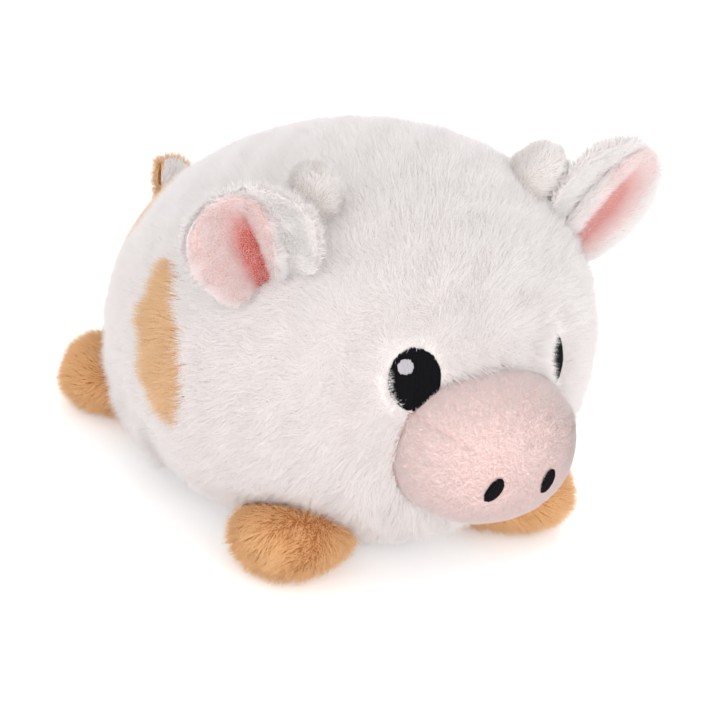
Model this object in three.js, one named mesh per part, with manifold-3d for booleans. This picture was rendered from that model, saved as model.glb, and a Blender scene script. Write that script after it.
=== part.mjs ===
// Microwavable plush cow: a pile cover over fibre stuffing, with a pouch of grain sewn inside.
// Millimetres, +Z up. The cow faces -Y and its left side is +X.

import * as THREE from 'three';
import { mergeVertices } from 'three/addons/utils/BufferGeometryUtils.js';
import Module from 'manifold-3d';

const wasm = await Module();
wasm.setup();

// Body and head, one plump loaf that is fullest at the head end
const bodyLength = 229;
const bodyWidth = 185;           // at half length
const bodyHeight = 157;          // at half length
const crownTaper = 0.45;          // how much wider the head end is than the middle
const crownRoundness = 1.6;      // power of the sine along the back, 1 gives an ellipse
const rumpFullness = 0.2;        // how much blunter the back end is than the head end
const bellyTaper = 0.1;           // the same, for the underside
const bellyRoundness = 1.05;
const bellyFullness = 0.2;       // how much blunter the underside is behind than in front
const restDepth = 73;            // from the body's axis down to the floor
const bellyBlend = 0.05;         // how softly the underside's taper fades out behind
const coverThickness = 3;        // backing and packed pile
const seamGap = 0.3;             // between pieces that are sewn to each other
const neckSeamY = -38;           // where the neck seam crosses the height of the axis
const neckSeamLean = 22;         // degrees that the seam leans back at the top
const bellySeamZ = -58;          // height of the underside panel's oval seam

// Pouch of grain on the underside panel
const pouchWidth = 140;
const pouchLength = 146;
const pouchHeight = 54;
const pouchY = -4;
const pouchBluntness = 0.9;      // power of the sine, under 1 gives a fuller edge
const pouchClothThickness = 1;
const pouchSeamLift = 4;         // how far the pouch's seam lies above its middle

// Muzzle, a short-pile dome sewn over the front of the head
const muzzleWidth = 75;
const muzzleHeight = 60;
const muzzleReach = 29.5;          // from its middle to the nose
const muzzleY = -107;
const muzzleZ = -9.5;
const muzzleBluntness = 0.73;     // power of the sine, under 1 flattens the nose
const muzzleSquareness = 0.93;   // power of its outline's sine and cosine, 1 gives an ellipse
const muzzleCoverThickness = 2.5;

// Embroidery, raised satin stitch
const stitchHeight = 1.1;
const stitchReach = 20;          // a stitched shape is cut by a column this far to each side
const eyeWidth = 20.5;
const eyeHeight = 23.5;
const eyeTurn = 28;              // degrees from the nose axis, round the head
const eyeLift = 33;              // degrees up from the level of the axis
const glintWidth = 6.5;
const glintHeight = 5.6;
const glintRise = 4.6;
const glintSide = -2.2;          // both glints sit towards the cow's right
const nostrilWidth = 6.4;
const nostrilHeight = 10.4;
const nostrilSpread = 25.5;        // between the two middles
const nostrilDrop = 5;         // below the muzzle's middle
const nostrilTiltRight = -20;    // degrees that the tops lean outwards
const nostrilTiltLeft = 8;

// Leaves, the form of the ears and of the tail
const leafRooted = 6;            // how far a leaf runs on under the cover before it is cut
const leafRoundness = 4;         // power that rounds off its end
const leafEasing = 1.6;

// Ears, two layers folded into a cup
const earLength = 49;
const earRootHalf = 16;          // half widths along the curve of the cup
const earMiddleHalf = 28;
const earTipHalf = 8;
const earCupAngle = 46;          // degrees from the fold to each edge
const earOuterThickness = 2.6;
const earLiningThickness = 2.2;
const earTurn = 61;
const earLift = 35;
const earFold = new THREE.Vector3(0.56, -0.16, 0.81);      // along the fold, for the left ear
const earMouthRight = new THREE.Vector3(-0.28, -0.88, -0.39);  // the way each cup opens
const earMouthLeft = new THREE.Vector3(-0.3, -0.94, 0.02);
const earOuterLobeRight = 0.85;  // the lobe away from the crown, as a share of the cup angle
const earOuterLobeLeft = 0.55;
const earCrownLobe = 1;          // the lobe beside the crown, the same way
const earHem = 0.35;             // how far the lining reaches over the lobe beside the crown
const earForward = 15;           // degrees that the ear flops, each way
const earBack = 15;

// Horns, small stuffed nubs
const hornLength = 19;
const hornRadius = 10;
const hornTipRadius = 7.8;
const hornTurn = 66;
const hornLiftRight = 58;        // the left horn is sewn on a little lower and leans out more
const hornLiftLeft = 56.8;
const hornLeanRight = -2;        // degrees outwards from straight off the head
const hornLeanLeft = 2;
const hornSunk = 5;              // how much of the form lies under the cover

// Feet, stuffed nubs sewn into the underside seam
const footLength = 54;
const footWidth = 38;
const footHeight = 29;
const footSwell = 0.16;          // how much fuller the toe is than the root
const footBluntness = 0.7;       // power of the sine along it
const footCoverThickness = 2.5;
const footLift = 1;              // clearance to the floor, the weight lies on the belly
const footFlat = 0.5;            // how much of the form its flat sole cuts off
const frontFootX = 50;
const frontFootY = -69;
const frontFootAngle = 14;       // degrees forward of straight out to the side
const rearFootX = 45;
const rearFootY = 69;
const rearFootAngle = -50;
const footSwing = 12;            // degrees either way
const footHingeInset = 0.66;     // hinge place, as a share of the half length towards the root

// Tail, a short folded flap in the back seam
const tailLength = 29;
const tailRootHalf = 8;
const tailMiddleHalf = 11;
const tailTipHalf = 6;
const tailCupAngle = 42;
const tailOuterThickness = 2.6;
const tailLiningThickness = 2.2;
const tailZ = -8;
const tailRise = 60;             // degrees above level
const tailUp = 15;               // degrees of movement each way
const tailDown = 15;

// Tan patches let into the cover
const flankPatchLength = 62;
const flankPatchWidth = 22;
const flankPatchMiddle = 13;     // along the seam from the level of the axis
const flankPatchBow = 0.8;       // power of its back edge, 0.5 gives an ellipse
const flankPatchWaves = 9;       // how fast the wave runs along that edge
const patchWave = 0.07;          // height of the wave, as a share of the width
const patchWaves = 3;            // round an oval patch
const rumpPatch = { x: -0.52, y: 0.78, z: 0.28, long: 44, wide: 34, turn: 30 };
const patchStart = 32;           // how far from the body's middle the patches' columns start
const sidePatch = { x: 0.9, y: 0.3, z: 0.32, long: 48, wide: 38, turn: -15 };

// Mesh steps
const bodyRows = 20;
const bodyColumns = 32;
const muzzleRows = 14;
const muzzleColumns = 26;
const pouchRows = 10;
const pouchColumns = 28;
const footRows = 8;
const footColumns = 14;
const hornSteps = 18;
const outlineSteps = 20;
const smallOutlineSteps = 14;

const rad = THREE.MathUtils.degToRad;
const xAxis = new THREE.Vector3(1, 0, 0);
const yAxis = new THREE.Vector3(0, 1, 0);
const zAxis = new THREE.Vector3(0, 0, 1);

// Geometry from points and triangles
function geometryOf(points, triangles) {
  const geometry = new THREE.BufferGeometry();
  geometry.setAttribute('position', new THREE.Float32BufferAttribute(points, 3));
  geometry.setIndex(triangles);
  return geometry;
}

// Closed round form: pointAt(t, u) with t from one pole to the other and u round it
function roundForm(pointAt, rows, columns) {
  const points = [];
  const triangles = [];
  const push = (p) => points.push(p.x, p.y, p.z);
  push(pointAt(0, 0));
  for (let i = 1; i < rows; i += 1) {
    for (let j = 0; j < columns; j += 1) {
      push(pointAt((Math.PI * i) / rows, (2 * Math.PI * j) / columns));
    }
  }
  push(pointAt(Math.PI, 0));
  const at = (i, j) => 1 + (i - 1) * columns + (j % columns);
  const last = 1 + (rows - 1) * columns;
  for (let j = 0; j < columns; j += 1) {
    triangles.push(0, at(1, j), at(1, j + 1));
    for (let i = 1; i < rows - 1; i += 1) {
      triangles.push(at(i, j), at(i + 1, j), at(i + 1, j + 1));
      triangles.push(at(i, j), at(i + 1, j + 1), at(i, j + 1));
    }
    triangles.push(at(rows - 1, j), last, at(rows - 1, j + 1));
  }
  return geometryOf(points, triangles);
}

// Closed slab: pointAt(s, v, side) with side 0 on its lower face and 1 on its upper face
function slabForm(pointAt, rows, columns) {
  const points = [];
  const triangles = [];
  for (let side = 0; side < 2; side += 1) {
    for (let i = 0; i <= rows; i += 1) {
      for (let j = 0; j <= columns; j += 1) {
        const p = pointAt(i / rows, (2 * j) / columns - 1, side);
        points.push(p.x, p.y, p.z);
      }
    }
  }
  const at = (i, j, side) => (side * (rows + 1) + i) * (columns + 1) + j;
  const quad = (a, b, c, d) => triangles.push(a, b, c, a, c, d);
  for (let i = 0; i < rows; i += 1) {
    for (let j = 0; j < columns; j += 1) {
      quad(at(i, j, 0), at(i, j + 1, 0), at(i + 1, j + 1, 0), at(i + 1, j, 0));
      quad(at(i, j, 1), at(i + 1, j, 1), at(i + 1, j + 1, 1), at(i, j + 1, 1));
    }
    quad(at(i, 0, 0), at(i + 1, 0, 0), at(i + 1, 0, 1), at(i, 0, 1));
    quad(at(i, columns, 0), at(i, columns, 1), at(i + 1, columns, 1), at(i + 1, columns, 0));
  }
  for (let j = 0; j < columns; j += 1) {
    quad(at(0, j, 0), at(0, j, 1), at(0, j + 1, 1), at(0, j + 1, 0));
    quad(at(rows, j, 0), at(rows, j + 1, 0), at(rows, j + 1, 1), at(rows, j, 1));
  }
  return geometryOf(points, triangles);
}

// A geometry as a solid, turned right side out where its grid runs the other way
function solidOf(geometry) {
  const bare = geometry.clone();
  bare.deleteAttribute('normal');
  bare.deleteAttribute('uv');
  const merged = mergeVertices(bare, 1e-4);
  const triangles = Uint32Array.from(merged.index.array);
  const place = merged.attributes.position;
  const a = new THREE.Vector3();
  const b = new THREE.Vector3();
  const c = new THREE.Vector3();
  let volume = 0;
  for (let i = 0; i < triangles.length; i += 3) {
    a.fromBufferAttribute(place, triangles[i]);
    b.fromBufferAttribute(place, triangles[i + 1]);
    c.fromBufferAttribute(place, triangles[i + 2]);
    volume += a.dot(b.cross(c));
  }
  if (volume < 0) {
    for (let i = 0; i < triangles.length; i += 3) {
      [triangles[i], triangles[i + 1]] = [triangles[i + 1], triangles[i]];
    }
  }
  const vertProperties = Float32Array.from(place.array);
  return new wasm.Manifold(new wasm.Mesh({ numProp: 3, vertProperties, triVerts: triangles }));
}

// Back from a solid to a geometry
function geometryOfSolid(solid) {
  const mesh = solid.getMesh();
  return geometryOf(Array.from(mesh.vertProperties), Array.from(mesh.triVerts));
}

// A copy of a geometry turned about a line through a point
function turned(geometry, point, axis, degrees) {
  const move = new THREE.Matrix4().makeTranslation(point.x, point.y, point.z);
  move.multiply(new THREE.Matrix4().makeRotationAxis(axis, rad(degrees)));
  move.multiply(new THREE.Matrix4().makeTranslation(-point.x, -point.y, -point.z));
  return geometry.clone().applyMatrix4(move);
}

// Half of space beyond a plane, as a large box with one face on the plane
const farAway = 600;
function halfSpace(point, normal) {
  const box = new THREE.BoxGeometry(farAway, farAway, farAway);
  box.translate(0, 0, farAway / 2);
  box.applyQuaternion(new THREE.Quaternion().setFromUnitVectors(zAxis, normal.clone().normalize()));
  box.translate(point.x, point.y, point.z);
  return solidOf(box);
}

// Straight column with a closed outline, from a point along a direction
function column(outline, base, direction, spin, reach) {
  const geometry = new THREE.ExtrudeGeometry(new THREE.Shape(outline), {
    depth: reach, bevelEnabled: false, curveSegments: 1, steps: 1,
  });
  geometry.rotateZ(spin);
  geometry.applyQuaternion(new THREE.Quaternion().setFromUnitVectors(zAxis, direction.clone().normalize()));
  geometry.translate(base.x, base.y, base.z);
  return solidOf(geometry);
}

// Closed outline of an oval, with an optional wavy edge
function ovalOutline(width, height, steps, wave = 0) {
  const outline = [];
  for (let i = 0; i < steps; i += 1) {
    const u = (2 * Math.PI * i) / steps;
    const swell = 1 + wave * Math.sin(patchWaves * u);
    outline.push(new THREE.Vector2((width / 2) * swell * Math.cos(u), (height / 2) * swell * Math.sin(u)));
  }
  return outline;
}

// Point of the body at t from the nose and u round its axis, inset by a depth.
// The section's size is a sine power times a taper, fuller below than above.
function bodyPoint(t, u, depth) {
  const along = Math.cos(t);
  const across = Math.max(Math.sin(t), 0);
  const above = across ** (crownRoundness + rumpFullness * Math.min(along, 0)) * (1 + crownTaper * along);
  const widening = bellyTaper * (along + Math.sqrt(along * along + bellyBlend));
  const below = across ** (bellyRoundness + bellyFullness * Math.min(along, 0)) * (1 + widening);
  const down = ((1 - Math.sin(u)) / 2) ** 2;
  const size = above + (below - above) * down;
  return new THREE.Vector3(
    (bodyWidth / 2 - depth) * size * Math.cos(u),
    -(bodyLength / 2 - depth) * along,
    (bodyHeight / 2 - depth) * size * Math.sin(u),
  );
}

// Outward direction off the body there
function bodyNormal(t, u) {
  const step = 0.01;
  const alongT = bodyPoint(t + step, u, 0).sub(bodyPoint(t - step, u, 0));
  const alongU = bodyPoint(t, u + step, 0).sub(bodyPoint(t, u - step, 0));
  return alongT.cross(alongU).normalize();
}

// A place on the head, for the right side (-1) or the left side (1)
function headPlace(turn, lift, side) {
  const u = side > 0 ? rad(lift) : Math.PI - rad(lift);
  return { point: bodyPoint(rad(turn), u, 0), normal: bodyNormal(rad(turn), u) };
}

function bodyGeometry(depth) {
  return roundForm((t, u) => bodyPoint(t, u, depth), bodyRows, bodyColumns);
}

function aboveLevel(z) {
  return halfSpace(new THREE.Vector3(0, 0, z), zAxis);
}

function bodySolid(depth) {
  return solidOf(bodyGeometry(depth)).intersect(aboveLevel(-restDepth + depth));
}

const keepOutGeometry = bodyGeometry(-seamGap);
const keepOut = solidOf(keepOutGeometry);

// The body swept through a piece's own movement, so that the piece clears it all the way
const sweepStep = 5;
function sweptBody(hinge, axis, low, high) {
  let swept = keepOut;
  const steps = Math.ceil((high - low) / sweepStep);
  for (let i = 0; i <= steps; i += 1) {
    const angle = low + ((high - low) * i) / steps;
    swept = swept.add(solidOf(turned(keepOutGeometry, hinge, axis, -angle)));
  }
  return swept;
}

const group = new THREE.Group();
group.name = 'plush_cow';

const palette = {
  whitePile: [0xeee6e4, 0.95],
  tanPile: [0xd9a878, 0.95],
  hoofPile: [0xcb935f, 0.95],
  pinkPile: [0xecd0cc, 0.92],
  hornPile: [0xe8e3de, 0.92],
  blackThread: [0x141216, 0.6],
  paleThread: [0xb8b3b8, 0.6],
  fibre: [0xf4f4f2, 1],
  cotton: [0xe2d8c4, 0.9],
  grain: [0xc9a15a, 0.8],
};

function addPiece(name, solid, finish) {
  const [color, roughness] = palette[finish];
  const material = new THREE.MeshStandardMaterial({ color, roughness, metalness: 0 });
  const mesh = new THREE.Mesh(geometryOfSolid(solid), material);
  mesh.name = name;
  group.add(mesh);
}

// Outline of the tan patch behind the neck seam, on the side of the body.
// Its front edge follows the seam and its back edge is a bow with a slight wave.
function flankOutline(grow) {
  const outline = [];
  const steps = outlineSteps;
  const half = flankPatchLength / 2 + grow;
  const deep = flankPatchWidth + grow;
  for (let i = 0; i <= steps; i += 1) {
    const along = (2 * i) / steps - 1;
    const bow = (1 - along * along) ** flankPatchBow;
    const wave = 1 + patchWave * Math.sin(flankPatchWaves * along);
    outline.push(new THREE.Vector2(deep * bow * wave, half * along));
  }
  outline.push(new THREE.Vector2(-deep, half));
  outline.push(new THREE.Vector2(-deep, -half));
  return outline;
}

function flankColumn(grow) {
  const geometry = new THREE.ExtrudeGeometry(new THREE.Shape(flankOutline(grow)), {
    depth: bodyWidth, bevelEnabled: false, curveSegments: 1, steps: 1,
  });
  geometry.translate(0, flankPatchMiddle, 0);
  geometry.rotateZ(-rad(neckSeamLean));
  geometry.translate(neckSeamY, 0, 0);
  // Outline x runs back along +Y, outline y runs up, and the column runs out to the right side
  const frameChange = new THREE.Matrix4().makeBasis(yAxis, zAxis, xAxis);
  geometry.applyMatrix4(frameChange);
  geometry.translate(-bodyWidth, 0, 0);
  return solidOf(geometry);
}

function patchColumn(patch, grow) {
  const outline = ovalOutline(patch.long + 2 * grow, patch.wide + 2 * grow, outlineSteps, patchWave);
  const direction = new THREE.Vector3(patch.x, patch.y, patch.z).normalize();
  const base = direction.clone().multiplyScalar(patchStart);
  return column(outline, base, direction, rad(patch.turn), bodyLength / 2);
}

// Cover: head panel, two back panels, underside panel and three patches
function addCover() {
  const shell = bodySolid(0).subtract(bodySolid(coverThickness));
  const half = seamGap / 2;
  const upper = shell.intersect(aboveLevel(bellySeamZ + half));
  const lower = shell.subtract(aboveLevel(bellySeamZ - half));
  const backwards = new THREE.Vector3(0, 1, 0).applyAxisAngle(xAxis, -rad(neckSeamLean));
  const neck = new THREE.Vector3(0, neckSeamY, 0);
  const neckBack = neck.clone().addScaledVector(backwards, half);
  const neckFront = neck.clone().addScaledVector(backwards, -half);
  const back = upper.intersect(halfSpace(neckBack, backwards));
  const head = upper.subtract(halfSpace(neckFront, backwards));
  const rightHalf = halfSpace(new THREE.Vector3(-half, 0, 0), xAxis.clone().negate());
  const leftHalf = halfSpace(new THREE.Vector3(half, 0, 0), xAxis);
  const wholeRight = back.intersect(rightHalf);
  const wholeLeft = back.intersect(leftHalf);
  const backRight = wholeRight.subtract(flankColumn(half)).subtract(patchColumn(rumpPatch, half));
  addPiece('head_panel', head, 'whitePile');
  addPiece('back_panel_right', backRight, 'whitePile');
  addPiece('back_panel_left', wholeLeft.subtract(patchColumn(sidePatch, half)), 'whitePile');
  addPiece('belly_panel', lower, 'whitePile');
  addPiece('flank_patch_right', wholeRight.intersect(flankColumn(-half)), 'tanPile');
  addPiece('rump_patch', wholeRight.intersect(patchColumn(rumpPatch, -half)), 'tanPile');
  addPiece('side_patch_left', wholeLeft.intersect(patchColumn(sidePatch, -half)), 'tanPile');
}

// Pouch: an oval pillow that lies on the underside panel
function pouchGeometry(inset) {
  const form = (t, u) => {
    const across = Math.max(Math.sin(t), 0) ** pouchBluntness;
    return new THREE.Vector3(
      (pouchWidth / 2 - inset) * across * Math.cos(u),
      pouchY + (pouchLength / 2 - inset) * across * Math.sin(u),
      -restDepth + pouchHeight / 2 - (pouchHeight / 2 - inset) * Math.cos(t),
    );
  };
  return roundForm(form, pouchRows, pouchColumns);
}

function addFilling() {
  const hollow = bodySolid(coverThickness + seamGap);
  const pouchOuter = solidOf(pouchGeometry(0)).intersect(hollow);
  const pouchInner = solidOf(pouchGeometry(pouchClothThickness));
  const pouchRoom = bodySolid(coverThickness + seamGap + pouchClothThickness);
  const cloth = pouchOuter.subtract(pouchInner.intersect(pouchRoom));
  const seamZ = -restDepth + pouchHeight / 2 + pouchSeamLift;
  const grainInset = pouchClothThickness + seamGap;
  const grainRoom = bodySolid(coverThickness + seamGap + grainInset);
  addPiece('pouch_top_cloth', cloth.intersect(aboveLevel(seamZ + seamGap / 2)), 'cotton');
  addPiece('pouch_bottom_cloth', cloth.subtract(aboveLevel(seamZ - seamGap / 2)), 'cotton');
  addPiece('grain_filling', solidOf(pouchGeometry(grainInset)).intersect(grainRoom), 'grain');
  addPiece('body_stuffing', hollow.subtract(solidOf(pouchGeometry(-seamGap))), 'fibre');
}

// Point of the muzzle, its pole at the nose
function muzzlePoint(t, u, depth) {
  const across = Math.max(Math.sin(t), 0) ** muzzleBluntness;
  const eased = (share) => Math.sign(share) * Math.abs(share) ** muzzleSquareness;
  return new THREE.Vector3(
    (muzzleWidth / 2 - depth) * across * eased(Math.cos(u)),
    muzzleY - (muzzleReach - depth) * Math.cos(t),
    muzzleZ + (muzzleHeight / 2 - depth) * across * eased(Math.sin(u)),
  );
}

function muzzleSolid(depth) {
  return solidOf(roundForm((t, u) => muzzlePoint(t, u, depth), muzzleRows, muzzleColumns));
}

// A stitched shape raised on a carrier: a column through the carrier's grown surface
function stitched(columnSolid, grown, clear) {
  return columnSolid.intersect(grown).subtract(clear);
}

function addMuzzle() {
  const lining = muzzleSolid(muzzleCoverThickness);
  const cover = muzzleSolid(0).subtract(lining).subtract(keepOut);
  const filling = muzzleSolid(muzzleCoverThickness + seamGap).subtract(keepOut);
  addPiece('muzzle_cover', cover, 'pinkPile');
  addPiece('muzzle_stuffing', filling, 'fibre');
  const forward = new THREE.Vector3(0, -1, 0);
  const grown = muzzleSolid(-seamGap - stitchHeight);
  const clear = muzzleSolid(-seamGap);
  for (const [name, side] of [['nostril_right', -1], ['nostril_left', 1]]) {
    const middle = new THREE.Vector3((side * nostrilSpread) / 2, muzzleY, muzzleZ - nostrilDrop);
    const outline = ovalOutline(nostrilWidth, nostrilHeight, smallOutlineSteps);
    const spin = -side * rad(side > 0 ? nostrilTiltLeft : nostrilTiltRight);
    const shaft = uprightColumn(outline, middle, forward, spin, muzzleReach * 2);
    addPiece(name, stitched(shaft, grown, clear), 'blackThread');
  }
}

// Column whose outline keeps its own up direction upright
function uprightColumn(outline, base, direction, spin, reach) {
  const geometry = new THREE.ExtrudeGeometry(new THREE.Shape(outline), {
    depth: reach, bevelEnabled: false, curveSegments: 1, steps: 1,
  });
  geometry.rotateZ(spin);
  const out = direction.clone().normalize();
  const sideways = zAxis.clone().cross(out).normalize();
  const up = out.clone().cross(sideways);
  geometry.applyMatrix4(new THREE.Matrix4().makeBasis(sideways, up, out));
  geometry.translate(base.x, base.y, base.z);
  return solidOf(geometry);
}

function addEyes() {
  const threadTop = -seamGap - stitchHeight;
  const grown = solidOf(bodyGeometry(threadTop));
  const glintClear = solidOf(bodyGeometry(threadTop - seamGap));
  const glintGrown = solidOf(bodyGeometry(threadTop - seamGap - stitchHeight));
  const muzzleClear = muzzleSolid(-seamGap);
  for (const [name, side] of [['right', -1], ['left', 1]]) {
    const { point, normal } = headPlace(eyeTurn, eyeLift, side);
    const base = point.clone().addScaledVector(normal, -stitchReach);
    const outline = ovalOutline(eyeWidth, eyeHeight, outlineSteps);
    const shaft = uprightColumn(outline, base, normal, 0, 2 * stitchReach);
    addPiece(`eye_${name}`, stitched(shaft, grown, keepOut).subtract(muzzleClear), 'blackThread');
    const sideways = zAxis.clone().cross(normal).normalize();
    const up = normal.clone().cross(sideways);
    base.addScaledVector(sideways, glintSide).addScaledVector(up, glintRise);
    const small = ovalOutline(glintWidth, glintHeight, smallOutlineSteps);
    const glintShaft = uprightColumn(small, base, normal, 0, 2 * stitchReach);
    addPiece(`eye_glint_${name}`, stitched(glintShaft, glintGrown, glintClear), 'paleThread');
  }
}

// Half width of a leaf: from the root out to the middle value, then rounded off to the tip
function leafHalf(s, root, middle, tip) {
  const full = root + (middle - root) * Math.sin(Math.PI * s);
  return tip + (full - tip) * Math.sqrt(1 - s ** leafRoundness);
}

// A leaf bent into a cup: its width wraps on an arc that opens along mouth.
// near and far are distances off the leaf's middle surface, towards its back.
// low and high are the edges that it reaches, -1 and 1 for the whole width.
function leafSolid(leaf, near, far, low = -1, high = 1) {
  const angle = rad(leaf.cup);
  const pointAt = (s, v, side) => {
    const off = side ? far : near;
    const radius = leafHalf(s, leaf.root, leaf.middle, leaf.tip) / angle;
    const turn = (low + ((high - low) * (v + 1)) / 2) * angle;
    return leaf.base.clone()
      .addScaledVector(leaf.fold, leaf.length * s)
      .addScaledVector(leaf.across, (radius + off) * Math.sin(turn))
      .addScaledVector(leaf.mouth, radius - (radius + off) * Math.cos(turn));
  };
  // Rows lie closer together towards the round tip
  const eased = (s, v, side) => pointAt(1 - (1 - s) ** leafEasing, v, side);
  return solidOf(slabForm(eased, leaf.rows, leaf.columns));
}

function addEars() {
  for (const [name, side] of [['right', -1], ['left', 1]]) {
    const { point } = headPlace(earTurn, earLift, side);
    const fold = earFold.clone().multiply(new THREE.Vector3(side, 1, 1)).normalize();
    const opening = (side > 0 ? earMouthLeft : earMouthRight).clone();
    const mouth = opening.addScaledVector(fold, -opening.dot(fold)).normalize();
    const across = fold.clone().cross(mouth).normalize();
    const leaf = {
      base: point.clone().addScaledVector(fold, -leafRooted), fold, mouth, across,
      length: earLength + leafRooted, root: earRootHalf, middle: earMiddleHalf, tip: earTipHalf,
      cup: earCupAngle, rows: 9, columns: 10,
    };
    const axis = across.clone().multiplyScalar(side);
    const swept = sweptBody(point, axis, -earBack, earForward);
    const reach = (inner) => (side > 0 ? [-inner, earOuterLobeLeft] : [-earOuterLobeRight, inner]);
    const outer = leafSolid(leaf, seamGap / 2, seamGap / 2 + earOuterThickness, ...reach(earCrownLobe));
    const lining = leafSolid(leaf, -seamGap / 2 - earLiningThickness, -seamGap / 2, ...reach(earHem));
    addPiece(`ear_outer_${name}`, outer.subtract(swept), 'whitePile');
    addPiece(`ear_lining_${name}`, lining.subtract(swept), 'pinkPile');
  }
}

// Horn: a rounded cone off the head
function addHorns() {
  for (const [name, side] of [['right', -1], ['left', 1]]) {
    const lift = side > 0 ? hornLiftLeft : hornLiftRight;
    const lean = side > 0 ? hornLeanLeft : hornLeanRight;
    const { point, normal } = headPlace(hornTurn, lift, side);
    const axis = normal.clone().applyAxisAngle(yAxis, side * rad(lean));
    const profile = [];
    const steps = 8;
    const straight = hornLength - hornTipRadius;
    profile.push(new THREE.Vector2(0, -hornSunk));
    profile.push(new THREE.Vector2(hornRadius, -hornSunk));
    for (let i = 0; i <= steps; i += 1) {
      const a = (Math.PI / 2) * (i / steps);
      profile.push(new THREE.Vector2(hornTipRadius * Math.cos(a), straight + hornTipRadius * Math.sin(a)));
    }
    profile[profile.length - 1].x = 0;
    const geometry = new THREE.LatheGeometry(profile, hornSteps);
    geometry.applyQuaternion(new THREE.Quaternion().setFromUnitVectors(yAxis, axis));
    geometry.translate(point.x, point.y, point.z);
    addPiece(`horn_${name}`, solidOf(geometry).subtract(keepOut), 'hornPile');
  }
}

// Foot: a nub along local +X, fuller at the toe, flat where it nears the floor
function footGeometry(depth) {
  const form = (t, u) => {
    const across = Math.max(Math.sin(t), 0) ** footBluntness * (1 - footSwell * Math.cos(t));
    return new THREE.Vector3(
      -(footLength / 2 - depth) * Math.cos(t),
      (footWidth / 2 - depth) * across * Math.cos(u),
      (footHeight / 2 - depth) * across * Math.sin(u),
    );
  };
  return roundForm(form, footRows, footColumns);
}

function addFeet() {
  const feet = [
    ['front_right', -1, frontFootX, frontFootY, frontFootAngle],
    ['front_left', 1, frontFootX, frontFootY, frontFootAngle],
    ['rear_right', -1, rearFootX, rearFootY, rearFootAngle],
    ['rear_left', 1, rearFootX, rearFootY, rearFootAngle],
  ];
  const floorLevel = -restDepth + footLift;
  const middleZ = floorLevel - footFlat + (footHeight / 2) * (1 + footSwell * footSwell / 2);
  for (const [name, side, x, y, angle] of feet) {
    const heading = side > 0 ? -rad(angle) : Math.PI + rad(angle);
    const out = new THREE.Vector3(Math.cos(heading), Math.sin(heading), 0);
    const middle = new THREE.Vector3(side * x, y, middleZ);
    const placed = (depth) => {
      const form = footGeometry(depth).rotateZ(heading).translate(middle.x, middle.y, middle.z);
      return solidOf(form).intersect(aboveLevel(floorLevel + depth));
    };
    const hinge = middle.clone().addScaledVector(out, (-footHingeInset * footLength) / 2);
    const swept = sweptBody(hinge, zAxis, -footSwing, footSwing);
    const cover = placed(0).subtract(placed(footCoverThickness)).subtract(swept);
    const filling = placed(footCoverThickness + seamGap).subtract(swept);
    addPiece(`foot_cover_${name}`, cover, 'hoofPile');
    addPiece(`foot_stuffing_${name}`, filling, 'fibre');
  }
}

// Tail: a short flap whose cup opens forward and up
function addTail() {
  const rise = rad(tailRise);
  const fold = new THREE.Vector3(0, Math.cos(rise), Math.sin(rise));
  const mouth = new THREE.Vector3(0, -Math.sin(rise), Math.cos(rise));
  const across = fold.clone().cross(mouth).normalize();
  const point = new THREE.Vector3(0, tailRootY(), tailZ);
  const leaf = {
    base: point.clone().addScaledVector(fold, -leafRooted), fold, mouth, across,
    length: tailLength + leafRooted, root: tailRootHalf, middle: tailMiddleHalf, tip: tailTipHalf,
    cup: tailCupAngle, rows: 6, columns: 6,
  };
  const swept = sweptBody(point, xAxis, -tailDown, tailUp);
  const outer = leafSolid(leaf, seamGap / 2, seamGap / 2 + tailOuterThickness);
  const lining = leafSolid(leaf, -seamGap / 2 - tailLiningThickness, -seamGap / 2);
  addPiece('tail_outer', outer.subtract(swept), 'tanPile');
  addPiece('tail_lining', lining.subtract(swept), 'whitePile');
}

// Where the body's back end lies at the tail's height
function tailRootY() {
  let t = Math.PI;
  while (bodyPoint(t, -Math.PI / 2, 0).z > tailZ) {
    t -= 0.002;
  }
  return bodyPoint(t, -Math.PI / 2, 0).y;
}

addCover();
addFilling();
addMuzzle();
addEyes();
addEars();
addHorns();
addFeet();
addTail();

// Origin on the floor, in the plane of symmetry, under the middle of the toy's length
const box = new THREE.Box3().setFromObject(group);
const middle = box.getCenter(new THREE.Vector3());
for (const mesh of group.children) {
  mesh.geometry.translate(0, -middle.y, -box.min.z);
}

export default group;
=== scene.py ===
import math
import re

import bmesh
import bpy
import numpy as np
from mathutils import Matrix, Vector


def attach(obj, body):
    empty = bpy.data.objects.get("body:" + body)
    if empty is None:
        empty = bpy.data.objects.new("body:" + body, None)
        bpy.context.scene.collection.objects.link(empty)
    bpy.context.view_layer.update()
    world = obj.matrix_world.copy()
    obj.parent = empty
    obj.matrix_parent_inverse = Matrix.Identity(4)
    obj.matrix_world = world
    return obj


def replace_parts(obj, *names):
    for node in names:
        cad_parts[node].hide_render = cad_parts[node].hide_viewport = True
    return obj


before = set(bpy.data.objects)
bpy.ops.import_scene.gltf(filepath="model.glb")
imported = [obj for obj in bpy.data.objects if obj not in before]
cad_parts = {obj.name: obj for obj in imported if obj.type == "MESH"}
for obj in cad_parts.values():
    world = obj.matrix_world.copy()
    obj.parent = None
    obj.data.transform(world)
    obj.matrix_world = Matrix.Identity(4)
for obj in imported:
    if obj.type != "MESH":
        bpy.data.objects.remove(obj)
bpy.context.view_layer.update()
mm = 0.001
rng = np.random.default_rng(7)


# Shaders

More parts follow.
